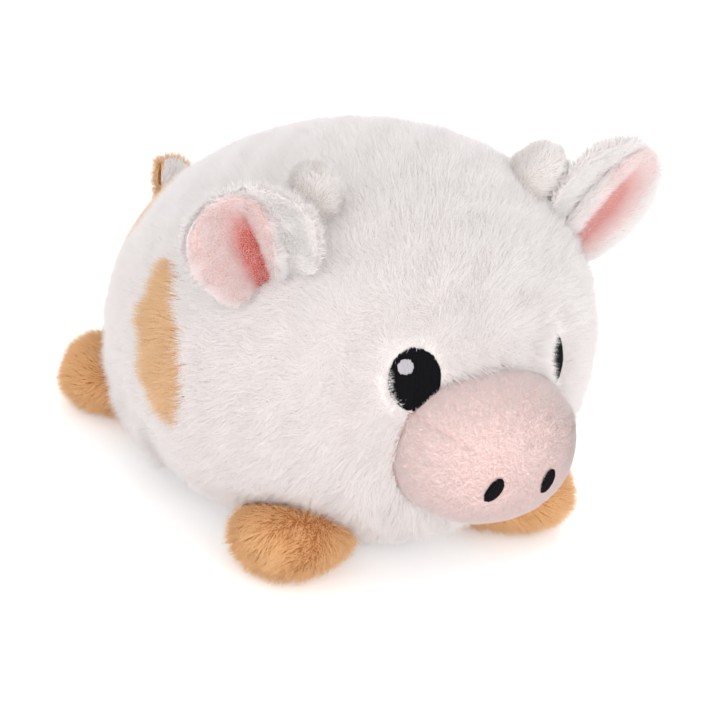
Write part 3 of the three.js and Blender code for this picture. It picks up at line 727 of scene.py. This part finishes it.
def stitching(name, finish, share, centre, way, look):
    # Upright threads side by side; each is a flattened tube over a dome, and ends a little unevenly.
    # Its path is a chord of the oval, its height the dome's: a base plus a rise that falls off to the rim.
    width, height, angle = look["width"], look["height"], math.radians(look["spin"])
    sideways, up = facing(way)
    sideways, up = (sideways * math.cos(angle) + up * math.sin(angle),
                    up * math.cos(angle) - sideways * math.sin(angle))
    count = int(width / look["pitch"])
    places = (np.arange(count) + 0.5) / count * 2 - 1
    ends = np.sqrt(1 - places ** 2) * height / 2
    steps, sides = thread["steps"], thread["sides"]
    run = np.sin(np.linspace(-math.pi / 2, math.pi / 2, steps))
    top = ends + rng.uniform(*thread["uneven"], count)
    foot = ends + rng.uniform(*thread["uneven"], count)
    upAt = np.where(run > 0, run * top[:, None], run * foot[:, None])
    acrossAt = places[:, None] * width / 2 + rng.normal(0, thread["wander"], (count, 1)) + 0 * upAt
    fall = (2 * acrossAt / (width + thread["domeWider"])) ** 2
    dome = np.sqrt(np.maximum(1 - fall - (2 * upAt / (height + thread["domeHigher"])) ** 2, 0))
    flat = centre + acrossAt[..., None] * sideways + upAt[..., None] * up
    path = ontoSurface(flat, way, share) + way * (look["base"] + look["rise"] * dome)[..., None]
    path = path + way * rng.normal(0, thread["lift"], (count, 1, 1))
    ring = np.linspace(0, 2 * math.pi, sides + 1)[:-1]
    thick = look["pitch"] * thread["thick"]
    taper = 1 - np.abs(np.linspace(-1, 1, steps)) ** thread["bluntness"]
    taper = np.sqrt(np.maximum(taper, thread["least"]))[None, :, None, None]
    tube = (path[:, :, None, :] + sideways * (np.cos(ring) * thick)[None, None, :, None] * taper
            + way * (np.sin(ring) * thick * thread["flat"])[None, None, :, None] * taper)
    k, i, j = np.meshgrid(np.arange(count), np.arange(steps - 1), np.arange(sides), indexing="ij")
    here = (k * steps + i) * sides
    beside = (j + 1) % sides
    quads = np.stack([here + j, here + sides + j, here + sides + beside, here + beside], -1).reshape(-1, 4)
    ringAt = np.arange(sides)
    starts = (np.arange(count) * steps * sides)[:, None] + ringAt
    stops = starts + (steps - 1) * sides
    faces = quads.tolist() + starts[:, ::-1].tolist() + stops.tolist()
    made = objectFrom(facesOutward(meshFrom(name, tube.reshape(-1, 3), faces)), name, finish, "torso")
    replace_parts(made, snake(name))


# Droop and reach are in degrees; inner is where the hair that laps over an eye starts, as a share of the oval
eyes = dict(turn=28, lift=33, width=20.5, height=23.5, base=0.35, rise=0.8, pitch=0.42, spin=0)
glints = dict(width=6.0, height=5.4, up=4.6, aside=-4.2, base=1.45, rise=0.35, pitch=0.36, spin=12)
eyeLaps = dict(Right=dict(droop=28, reach=34, inner=0.97, length=0.55, layers=1),
               Left=dict(droop=-16, reach=64, inner=0.5, length=1.0, layers=4))
eyePlaces = {}
for word, side in (("Right", -1), ("Left", 1)):
    centre, way = headPlace(eyes["turn"], eyes["lift"], side)
    sideways, up = facing(way)
    eyePlaces[word] = (centre, sideways, up)
    stitching("eye" + word, "blackThread", bodyShare, centre, way, eyes)
    spot = centre + sideways * glints["aside"] + up * glints["up"]
    stitching("eyeGlint" + word, "paleThread", bodyShare, spot, way, glints)

for word, side in (("Right", -1), ("Left", 1)):
    spot = muzzleMiddle + nostrilOffset(side, -20)
    stitching("nostril" + word, "blackThread", muzzleShare, spot, np.array([0, -1.0, 0]),
              dict(nostrils, spin=-side * nostrils["tilt" + word]))
print("stitching made")


# Pile of the body and head

coat = dict(pile, length=6.6, lean=42, uneven=6, wander=50, stray=18, swirl=14, ragged=0.5, tuft=5.0,
            gather=0.24, dome=0.14, sunk=0.6, smooth=0.96, grit=0.04, density=4.15, droop=-0.3, stand=0.45)
# White pile is painted pinker and a little darker low down, as painted shade on the lower body
coatTone = dict(high=0.8, drop=0.35, top=120, fade=40, patch=0.75)
# Round the muzzle: how far out the coat starts, stands out and strays, as shares of the muzzle's size
muzzleRing = dict(clear=0.985, far=1.5, fade=0.5, stray=0.14)
# It is shorter on top of the rump, past these places
rumpTrim = dict(y=40, z=50, fadeY=40, fadeZ=20, cut=0.4)
# Where the coat is longer: over the root of each rear foot, and at the lower back of each side
rootFluff = dict(middle=(44, 82, 34), spread=(30, 26, 16), grow=0.5)
sideFluff = dict(middle=(78, 30, 24), spread=(34, 40, 20), grow=0.85, behind=-10, upright=1.2)
# Around an eye: how far out its hair is sought, laps, lies flat and is combed, as shares of the oval
eyeRings = dict(near=30, clear=1.04, lap=1.35, flat=1.3, comb=1.25, round=1.6, fade=0.4)


def hump(away, spread):
    # 1 in the middle, falling off as a bell in each direction
    return np.exp(-np.sum((away / spread) ** 2, axis=1))


def coatPlaces():
    t, u, roots, normals = sown(bodyForm, coat["density"], (0.02, math.pi - 0.02))
    nap = wayAlong(bodyForm, t, u) + np.array([0, 0, coat["droop"]])
    lengths, calm = np.ones(len(roots)), np.zeros(len(roots))
    # None grows under the muzzle, and it stands out round it, more above and to its left
    ring = muzzleShare(roots)
    keep = ring > muzzleRing["clear"]
    away = roots - muzzleMiddle
    beside = np.clip(0.45 + (away[:, 2] + 0.5 * away[:, 0]) / 25, 0, 1)
    upright = muzzleRing["far"] - ring + rng.normal(0, muzzleRing["stray"], len(roots))
    upright = np.clip(upright / muzzleRing["fade"], 0, 1) * beside
    inward = unit(muzzleMiddle - roots) + 0.4 * normals
    nap = unit(nap) * (1 - upright[:, None]) + upright[:, None] * inward
    for side in (-1, 1):
        x, y, z = rootFluff["middle"]
        lengths *= 1 + rootFluff["grow"] * hump(roots - (side * x, y, z), rootFluff["spread"])
    past = np.clip((roots[:, 1] - rumpTrim["y"]) / rumpTrim["fadeY"], 0, 1)
    lengths *= 1 - rumpTrim["cut"] * past * np.clip((roots[:, 2] - rumpTrim["z"]) / rumpTrim["fadeZ"], 0, 1)
    for word, (centre, sideways, up) in eyePlaces.items():
        # From one side it is combed over the eye's rim
        lap = eyeLaps[word]
        away = roots - centre
        across = dot(away, sideways)[:, 0] / (eyes["width"] / 2)
        above = dot(away, up)[:, 0] / (eyes["height"] / 2)
        ring = np.hypot(across, above)
        close = np.linalg.norm(away, axis=1) < eyeRings["near"]
        droop = math.radians(lap["droop"])
        towards = sideways * math.cos(droop) + up * math.sin(droop)
        facingIt = -(across * math.cos(droop) + above * math.sin(droop))
        lapping = facingIt > ring * math.cos(math.radians(lap["reach"]))
        lapping &= close & (ring < eyeRings["lap"])
        keep &= ~(close & (ring < np.where(lapping, lap["inner"], eyeRings["clear"])))
        nap = np.where((lapping & (ring < eyeRings["comb"]))[:, None], towards + 0.3 * nap, nap)
        # Elsewhere it runs round the rim and a little away from it, and is shorter
        outward = unit(sideways * across[:, None] + up * above[:, None])
        around = np.cross(normals, outward)
        around = around * np.sign(dot(around, nap)) + 0.8 * outward * rng.normal(0.35, 1, (len(roots), 1))
        share = np.clip((eyeRings["round"] - ring) / eyeRings["fade"], 0, 1) * (close & ~lapping)
        nap = unit(nap) * (1 - share[:, None]) + around * share[:, None]
        lengths *= np.where(close & ~lapping, np.clip(0.55 + (ring - 1) * 0.9, 0.5, 1), 1)
        lengths *= np.where(lapping, lap["length"], 1)
        flat = lapping & (ring < eyeRings["flat"])
        if word == "Left":
            # The bridge's hair lies long and flat over the half of the eye that is next to it
            overEye = (ring - 0.1) * eyes["width"] / 2 / coat["length"] * 0.94
            lengths = np.where(flat, np.clip(overEye, 0.5, 1.25), lengths)
            upright = np.where(flat, -1, upright)
            calm = np.where(flat, 0.7, calm)
        # Where it lies over the threads, more layers are laid on the first
        extra = np.repeat(np.flatnonzero(flat & keep), lap["layers"])
        roots = np.concatenate([roots, roots[extra] + rng.normal(0, 0.4, (len(extra), 3))])
        normals, nap, lengths, keep, upright, calm = (
            np.concatenate([a, a[extra]]) for a in (normals, nap, lengths, keep, upright, calm))
    full = hump(np.abs(roots) - sideFluff["middle"], sideFluff["spread"])
    full = full * (roots[:, 1] > sideFluff["behind"])
    lengths *= 1 + sideFluff["grow"] * full
    upright = np.maximum(upright, sideFluff["upright"] * full)
    # It is thinner and shorter where the toy lies on it
    under = normals[:, 2] < -0.75
    lengths *= np.where(under, 0.7, 1)
    keep &= ~(under & (roots[:, 2] < 0.2) & (rng.random(len(roots)) < 0.6))
    return (roots[keep], normals[keep], nap[keep], lengths[keep], coat["stand"] * upright[keep, None],
            calm[keep, None])


roots, normals, nap, lengths, stand, calm = coatPlaces()
owner = panelOf(roots)
# Lower roots take the shaded tone: painted shade low on the body
depth = np.clip((coatTone["top"] - roots[:, 2]) / coatTone["fade"], 0, 1)
coatTones = coatTone["high"] - coatTone["drop"] * depth
for panel, kind in panels.items():
    mine = owner == panel
    growPile(panel + "Pile", "torso", kind, roots[mine], normals[mine], nap[mine], coat, lengths[mine],
             coatTones[mine] if kind == "white" else coatTone["patch"], stand=stand[mine], calm=calm[mine])
print("coat grown,", len(roots), "strands")


# Leaves: the ears and the tail

def leafHalf(s, leaf):
    # From the root out to the middle value by a sine power, rounded off to the tip
    swell = np.maximum(np.sin(math.pi * s ** leaf["skew"]), 0) ** leaf["full"]
    wide = leaf["root"] + (leaf["middle"] - leaf["root"]) * swell
    return leaf["tip"] + (wide - leaf["tip"]) * np.sqrt(np.maximum(1 - s ** leaf["round"], 0))


def leafPoint(leaf, s, turn, off):
    # A cup: along the fold, and round an arc that opens along the mouth; off is the distance towards its back
    angle = math.radians(leaf["cup"])
    radius = leafHalf(s, leaf) / angle
    s, turn, radius, off = np.broadcast_arrays(s, turn * angle, radius, off)
    return (leaf["base"] + leaf["fold"] * (leaf["length"] * s)[..., None]
            + leaf["across"] * ((radius + off) * np.sin(turn))[..., None]
            + leaf["mouth"] * (radius - (radius + off) * np.cos(turn))[..., None])


def layerForm(leaf, near, far, low, high, puff=0, short=0):
    # A layer of the cup as a closed form: u goes round its section, a blunt oval in breadth and depth.
    # Its two lobes can puff out into the cup, which leaves a crease along the fold; short leaves off its tip.
    def form(t, u):
        s = (1 - np.cos(t)) / 2 * (1 - short)
        fade = np.sqrt(np.maximum(1 - np.abs(np.cos(t)) ** 10, 0))
        breadth, depth = eased(np.cos(u), 0.6), eased(np.sin(u), 0.6)
        turn = (low + high) / 2 + (high - low) / 2 * breadth * fade
        swell = puff * (1 - np.exp(-(turn / 0.3) ** 2)) * np.sin(math.pi * np.clip(s, 0, 1) ** 0.8)
        off = (near + far) / 2 + (far - near) / 2 * depth * fade - swell * np.clip(-depth, 0, 1) * fade
        return leafPoint(leaf, s, turn, off)
    return form


def clearLeaf(form, leaf):
    def cleared(t, u):
        return clearOfBody(form(t, u), leaf["fold"], 0.4, leaf["turns"])[0]
    return cleared


# Turns round the cup are shares of its angle. Pile past the fringe's turn, or lower than low on the crown's
# side, has the outer layer's colour, and noFringe is a turn that no pile passes.
noFringe = 9
ears = dict(length=49, root=16, middle=28, full=0.6, cup=46, outer=2.6, lining=2.2, turn=61, lift=35,
            fold=(0.56, -0.16, 0.81), crown=1.0, hem=0.4, puff=4.5, low=0.08, swing=15, rooted=6)
earSides = dict(
    Right=dict(side=-1, tip=16, skew=1.5, round=10, mouth=(-0.28, -0.88, -0.39), lobe=0.85, fringe=noFringe,
               tuft=0, deep=1),
    Left=dict(side=1, tip=8, skew=1.2, round=4, mouth=(-0.3, -0.94, 0.02), lobe=0.55, fringe=0.4,
              tuft=0.3, deep=0.6),
)
tail = dict(length=29, root=8, middle=11, tip=6, full=1, skew=1, round=6, cup=42, outer=2.6, lining=2.2,
            z=-8, rise=60, puff=0, swing=15, rooted=6, span=1, hem=0.96, fringe=0.93, low=noFringe)
earPile = dict(pile, length=6.0, width=0.24, uneven=10, wander=42, stray=18, swirl=12, tuft=3.4, gather=0.34,
               dome=0.18, sunk=0.5, smooth=0.94, density=4.2)
liningPile = dict(pile, length=3.2, wander=36, tuft=1.8, gather=0.2, dome=0.12, grit=0.04, tone=0.025,
                  density=7.0)
tailPile = dict(earPile, length=4.2, density=3.4)
layerGap = 0.15
# How much smaller the cloth below the pile is: off its two sides in mm, off its edges, off its tip
outerInset = dict(low=0.2, high=0.5, edge=0.04, tip=0.03)
liningInset = dict(low=0.4, high=0, edge=0.03, tip=0.02)


# Tone, length, light and stand of the tail's pile, on its outer layer and on its lining, whose higher tone is
# painted light on its shaded white face
tailShades = ((0.78, 1, 0, 0), (0.96, 0.75, 1.4, 0))


def earShades(leaf, inward, at, s, u, edge, rim):
    # The same four for an ear; at is the turn, from below the fold to the lobe by the crown
    if inward:
        # The lining is painted deep pink along a crease, as painted shade in the fold, and is shorter there,
        # and pale round it
        across = at - 0.06
        deep = np.exp(-(across / np.where(across > 0, 0.07, 0.24)) ** 2) * np.clip((0.9 - s) / 0.4, 0, 1)
        deep = np.clip(1.7 * deep, 0, 1) * leaf["deep"]
        return 0.96 - 0.92 * deep, 1 - 0.35 * deep, 0.4 * (1 - deep), 0 * deep
    # The outer layer shows its inside at the lobe by the crown, where its pile lies flat. Its inner faces are
    # painted lighter, as painted light in the cup's shade, and its rim darker, as painted shade
    inner, crown = np.sin(u) < 0.2, np.clip(at, 0, 1)
    lengths = (1 - 0.15 * edge - 0.15 * rim - 0.4 * np.clip((s - 0.75) / 0.25, 0, 1)
               + leaf["tuft"] * crown * ~inner)
    lit = 1.4 * inner * crown * (1 - rim) + 0.3 - 0.9 * rim
    return 0.78 + 0.2 * inner - 0.3 * rim, lengths, lit, -0.6 * inner * crown


def makeLeaf(leaf, names, kinds, looks, bodyName, span, hem, crownWay=0):
    # The crown's way is the sign of the turn at the lobe by the crown, and 0 for the tail
    depths = (layerGap, layerGap + leaf["outer"]), (-layerGap - leaf["lining"], -layerGap)
    layers = tuple(zip(depths, (span, hem), (0, leaf["puff"]), (outerInset, liningInset)))
    forms = [layerForm(leaf, *depth, *arc, puff) for depth, arc, puff, inset in layers]
    cloths = [layerForm(leaf, depth[0] + inset["low"], depth[1] - inset["high"], arc[0] + inset["edge"],
                        arc[1] - inset["edge"], puff, inset["tip"]) for depth, arc, puff, inset in layers]
    for name, form, kind in zip(names, cloths, kinds):
        backing(name, clearLeaf(form, leaf), kind, bodyName, snake(name), (44, 60))
    for inward, name, form, kind, look, reach in zip((False, True), names, forms, kinds, looks, (span, hem)):
        t, u, roots, normals = sown(form, look["density"], (0.05, math.pi - 0.05), (120, 1200))
        s = (1 - np.cos(t)) / 2
        at = (reach[0] + reach[1]) / 2 + (reach[1] - reach[0]) / 2 * eased(np.cos(u), 0.6)
        # Faces that lie against the other layer stay bare
        if inward:
            bare = np.sin(u) > 0.3
        else:
            bare = (np.sin(u) < 0) & (at > hem[0] - 0.02) & (at < hem[1] + 0.02) & (s < 0.93)
        keep = ~bare & ~clearOfBody(roots, leaf["fold"], 0.4, leaf["turns"])[1]
        edge = np.clip(np.maximum((at - reach[1]) / 0.25, (reach[0] - at) / 0.25) + 1, 0, 1)[:, None]
        nap = leaf["fold"] + (0.4 + 0.2 * edge) * unit(roots - leafPoint(leaf, s, 0 * s, 0 * s))
        # Hair on the rim itself falls over towards the mouth
        rim = edge ** 2 * (np.abs(np.sin(u)) ** 0.6 < 0.75)[:, None] * abs(crownWay)
        nap = nap + 0.3 * edge ** 2 * rng.normal(size=nap.shape)
        normals = unit(normals * (1 - 0.8 * rim) + rim * leaf["mouth"])
        rim = rim[:, 0]
        if crownWay:
            tones, lengths, lit, stand = earShades(leaf, inward, at * crownWay, s, u, edge[:, 0], rim)
        else:
            tones, lengths, lit, stand = (np.full(len(at), value) for value in tailShades[inward])
        past = (-at * crownWay if crownWay else np.maximum(np.abs(at), s ** 2)) - leaf["fringe"]
        past = np.maximum(past, at * crownWay - leaf["low"] - 0.5 * s)
        pale = keep & (past > rng.normal(0, 0.04, len(at))) & inward
        for mine, word, colourKind, grow in ((keep & ~pale, "Pile", kind, 1),
                                             (pale, "Fringe", kinds[0], 1.4 if crownWay else 1)):
            if mine.any():
                growPile(name + word, bodyName, colourKind, roots[mine], normals[mine], nap[mine], look,
                         grow * lengths[mine], tones[mine] if word == "Pile" else 0.78,
                         lit[mine, None], stand[mine, None] if word == "Pile" else 0.0)


def swings(point, axis, swing):
    # The turns at which a moving piece stays clear of the body
    return [(point, axis, a) for a in (-swing, -(swing // 2), swing // 2, swing)]


for word, ear in earSides.items():
    side = ear["side"]
    point, normal = headPlace(ears["turn"], ears["lift"], side)
    fold = unit(np.array(ears["fold"]) * np.array([side, 1, 1]))
    mouth = np.array(ear["mouth"])
    mouth = unit(mouth - fold * np.dot(mouth, fold))
    across = unit(np.cross(fold, mouth))
    leaf = {**ears, **ear, "base": point - fold * ears["rooted"], "fold": fold, "mouth": mouth,
            "across": across, "length": ears["length"] + ears["rooted"],
            "turns": swings(point, across * side, ears["swing"])}
    span, hem = (-ears["crown"], ear["lobe"]), (-ears["hem"], ear["lobe"])
    if side < 0:
        span, hem = (-span[1], -span[0]), (-hem[1], -hem[0])
    makeLeaf(leaf, ("earOuter" + word, "earLining" + word), ("white", "pink"), (earPile, liningPile),
             snake("ear" + word), span, hem, -side)

rise = math.radians(tail["rise"])
fold = np.array([0, math.cos(rise), math.sin(rise)])
mouth = np.array([0, -math.sin(rise), math.cos(rise)])
# Its seam crosses the body's under line, behind the middle, at its height
seamT = np.linspace(math.pi / 2, math.pi, 4000)
seam = bodyForm(seamT, np.full(4000, -math.pi / 2))
point = seam[np.argmin(np.abs(seam[:, 2] - body["restDepth"] - tail["z"]) + (seamT < 2) * 99)]
leaf = {**tail, "base": point - fold * tail["rooted"], "fold": fold, "mouth": mouth,
        "across": np.cross(fold, mouth), "length": tail["length"] + tail["rooted"],
        "turns": swings(point, np.array([1.0, 0, 0]), tail["swing"])}
makeLeaf(leaf, ("tailOuter", "tailLining"), ("tan", "white"), (tailPile, tailPile), "tail",
         (-tail["span"], tail["span"]), (-tail["hem"], tail["hem"]))
print("ears and tail made")


# Horns

horns = dict(length=19, radius=10, tip=7.8, turn=66, liftRight=58, liftLeft=56.8, leanRight=-2, leanLeft=2,
             sunk=5, roundness=3.2)
hornPile = dict(pile, length=4.4, width=0.23, lean=42, ragged=0.5, tuft=2.4, smooth=0.94, tone=0.04,
                density=5.0)
for word, side in (("Right", -1), ("Left", 1)):
    point, normal = headPlace(horns["turn"], horns["lift" + word], side)
    axis = turnedAbout(normal, np.zeros(3), (0, 1, 0), side * horns["lean" + word])
    first = unit(np.cross(axis, np.array([0, 1.0, 0.2])))
    second = np.cross(axis, first)

    def hornForm(t, u, point=point, axis=axis, first=first, second=second):
        # A cone that narrows a little, rounded off at the tip: a blunt oval along the axis
        s = (1 - np.cos(t)) / 2
        around = np.sqrt(np.maximum(1 - np.abs(np.cos(t)) ** horns["roundness"], 0))
        radius = (horns["radius"] + (horns["tip"] - horns["radius"]) * s) * around
        height = -horns["sunk"] + (horns["length"] + horns["sunk"]) * s
        height, u, radius = np.broadcast_arrays(height, u, radius)
        return (point + axis * height[..., None] + first * (radius * np.cos(u))[..., None]
                + second * (radius * np.sin(u))[..., None])

    def hornSkin(t, u, form=hornForm, axis=axis):
        return clearOfBody(form(t, u), axis)[0]

    name = "horn" + word
    backing(name, hornSkin, "horn", "torso", snake(name), (30, 36))
    t, u, roots, normals = sown(hornForm, hornPile["density"], (0.3, math.pi - 0.02), (90, 90))
    keep = ~clearOfBody(roots, axis)[1]
    # Darker towards its base: painted shade where the horn meets the head
    low = np.clip(1 - dot(roots - point, axis)[:, 0] / 10, 0, 1)
    growPile(name + "Pile", "torso", "horn", roots[keep], normals[keep], (axis + 0.2 * normals)[keep],
             hornPile, 1.0, (0.8 - 0.5 * low)[keep], 0.35)
print("horns made")


# Feet

feet = dict(length=55, width=39, height=29, swell=0.16, bluntness=0.7, lift=1, flat=0.5, swing=12,
            inset=0.66, napDroop=-0.25)
footPile = dict(pile, length=5.6, width=0.27, uneven=9, wander=30, stray=14, swirl=16, tuft=3.2, gather=0.42,
                dome=0.25, sunk=0.5, smooth=0.88, grit=0.08, tone=0.1, density=3.6)
# The side, the place of the middle, the angle from straight out to the side, and the tone of the pile, which
# is painted light and shade: lighter on the front right foot, darkest on the rear feet
footPlaces = {
    "FrontRight": dict(side=-1, x=50, y=-69, angle=19, tone=0.82),
    "FrontLeft": dict(side=1, x=50, y=-69, angle=14, tone=0.64),
    "RearRight": dict(side=-1, x=45, y=69, angle=-50, tone=0.58),
    "RearLeft": dict(side=1, x=45, y=69, angle=-50, tone=0.58),
}
for word, foot in footPlaces.items():
    angle = math.radians(foot["angle"])
    heading = -angle if foot["side"] > 0 else math.pi + angle
    out = np.array([math.cos(heading), math.sin(heading), 0])
    beside = np.array([-out[1], out[0], 0])
    level = feet["lift"] - feet["flat"] + feet["height"] / 2 * (1 + feet["swell"] ** 2 / 2)
    middle = np.array([foot["side"] * foot["x"], foot["y"] + body["middleY"], level])
    hinge = middle - out * feet["inset"] * feet["length"] / 2
    turns = swings(hinge, np.array([0, 0, 1.0]), feet["swing"])

    def footForm(t, u, middle=middle, out=out, beside=beside):
        # A blunt oval along the foot, fuller at the toe, flat at the sole
        across = np.maximum(np.sin(t), 0) ** feet["bluntness"] * (1 - feet["swell"] * np.cos(t))
        along, wide, high = np.broadcast_arrays(-feet["length"] / 2 * np.cos(t),
                                                feet["width"] / 2 * across * np.cos(u),
                                                feet["height"] / 2 * across * np.sin(u))
        points = middle + out * along[..., None] + beside * wide[..., None]
        points[..., 2] = np.maximum(points[..., 2] + high, feet["lift"])
        return points

    def footSkin(t, u, form=footForm, out=out, turns=turns):
        return clearOfBody(form(t, u), out, 0.4, turns)[0]

    name, bodyName = "foot" + word, snake("foot" + word)
    backing(name, footSkin, "hoof", bodyName, snake("footCover" + word), (44, 56))
    t, u, roots, normals = sown(footForm, footPile["density"], (0.02, math.pi - 0.02), (400, 120))
    keep = ~clearOfBody(roots, out, 0.4, turns)[1]
    nap = np.broadcast_to(out + np.array([0, 0, feet["napDroop"]]), roots.shape)
    growPile(name + "Pile", bodyName, "hoof", roots[keep], normals[keep], nap[keep], footPile,
             tones=foot["tone"])
print("feet made")


# What lies inside

def loosened(size, depth):
    # Pushed along the way from the middle by a smooth noise
    def lift(points, shares):
        way = unit(points - points.mean(axis=0))
        return points - way * depth * (0.5 + 0.5 * waves(points, size, 21)[:, None])
    return lift


inside = {"pouchTopCloth": "cloth", "pouchBottomCloth": "cloth", "grainFilling": "grain",
          "bodyStuffing": "fibre", "muzzleStuffing": "fibre"}
inside.update({"footStuffing" + word: "fibre" for word in footPlaces})
for name, finish in inside.items():
    bodyName = snake(name.replace("Stuffing", "")) if name.startswith("foot") else "torso"
    made = fromNode(name, finish, bodyName, 1, loosened(14, 0.0 if finish == "cloth" else 0.3))
print("filling made")


# Floor, lights and camera

floorShade = dict(size=12, paper=0.88, glow=0.28, bounce=0.3)
skyLight = 1.1
white = (1.0, 1.0, 1.0, 1.0)
lamps = {
    "keyLight": dict(power=12.0, size=1.6, place=(-1.45, -1.25, 0.95)),
    "fillLight": dict(power=12.4, size=1.8, place=(0.1, -2.1, 0.6)),
    "backLight": dict(power=15, size=1.8, place=(1.1, 1.9, 1.1)),
}
lampTarget = Vector((0, 0, 0.07))


def floorFinish():
    # The camera sees the floor's own shade and a glow on top, so that only its shadow is below white
    finish = Finish("floorPaper")
    paper = finish.node("ShaderNodeBsdfDiffuse", None, {"Color": (floorShade["paper"],) * 3 + (1,)})
    bounce, glow = (finish.wire(finish.node("ShaderNodeEmission", None, {"Strength": floorShade[k]}))
                    for k in ("bounce", "glow"))
    light = finish.node("ShaderNodeMixShader", None, {0: finish.seen(), 1: bounce, 2: glow})
    both = finish.node("ShaderNodeAddShader", None, {0: finish.wire(paper), 1: finish.wire(light)})
    finish.node("ShaderNodeOutputMaterial", None, {0: finish.wire(both)})
    return finish.block


def skyFinish():
    # The camera sees plain white, and the cow is lit by a little more
    finish = Finish("whiteRoom", "worlds")
    lit, plain = (finish.wire(finish.node("ShaderNodeBackground", None, {"Color": white, "Strength": light}))
                  for light in (skyLight, 1.0))
    pick = finish.node("ShaderNodeMixShader", None, {0: finish.seen(), 1: lit, 2: plain})
    finish.node("ShaderNodeOutputWorld", None, {0: finish.wire(pick)})
    return finish.block


bpy.ops.mesh.primitive_plane_add(size=floorShade["size"], location=(0, 0, 0))
floor = bpy.context.object
floor.name = "floor"
floor.data.materials.append(floorFinish())
bpy.context.scene.world = skyFinish()
for name, lamp in lamps.items():
    data = bpy.data.lights.new(name, "AREA")
    data.energy, data.size = lamp["power"], lamp["size"]
    made = bpy.data.objects.new(name, data)
    made.location = lamp["place"]
    made.rotation_mode = "QUATERNION"
    made.rotation_quaternion = (lampTarget - Vector(lamp["place"])).to_track_quat("-Z", "Y")
    bpy.context.scene.collection.objects.link(made)

# Distance, across and up are in picture pixels, and scale is the millimetres of one
view = dict(azimuth=-38, elevation=22.5, roll=9, distance=2630, scale=0.41, across=-29.5, up=49.5,
            middle=(0, 3.11, 73), pixels=713, film=36, near=0.05, far=30)
azimuth, elevation, roll = (math.radians(view[k]) for k in ("azimuth", "elevation", "roll"))
ahead = math.cos(elevation)
back = Vector((math.sin(azimuth) * ahead, -math.cos(azimuth) * ahead, math.sin(elevation)))
level = Vector((math.cos(azimuth), math.sin(azimuth), 0))
upright = back.cross(level)
rightWay = level * math.cos(roll) + upright * math.sin(roll)
upWay = upright * math.cos(roll) - level * math.sin(roll)
turn = Matrix((rightWay, upWay, back)).transposed()
# The body's middle lies off the picture's middle, so the camera is aimed past it
aim = Vector((view["across"], view["up"], -view["distance"])).normalized()
turn = turn @ aim.rotation_difference(Vector((0, 0, -1))).to_matrix()
cameraData = bpy.data.cameras.new("camera")
cameraData.lens = view["film"] * view["distance"] / view["pixels"]
cameraData.clip_start, cameraData.clip_end = view["near"], view["far"]
camera = bpy.data.objects.new("camera", cameraData)
place = Vector(view["middle"]) * mm + back * view["distance"] * view["scale"] * mm
camera.matrix_world = Matrix.Translation(place) @ turn.to_4x4()
bpy.context.scene.collection.objects.link(camera)
bpy.context.scene.camera = camera
bpy.context.scene.view_settings.view_transform = "Standard"

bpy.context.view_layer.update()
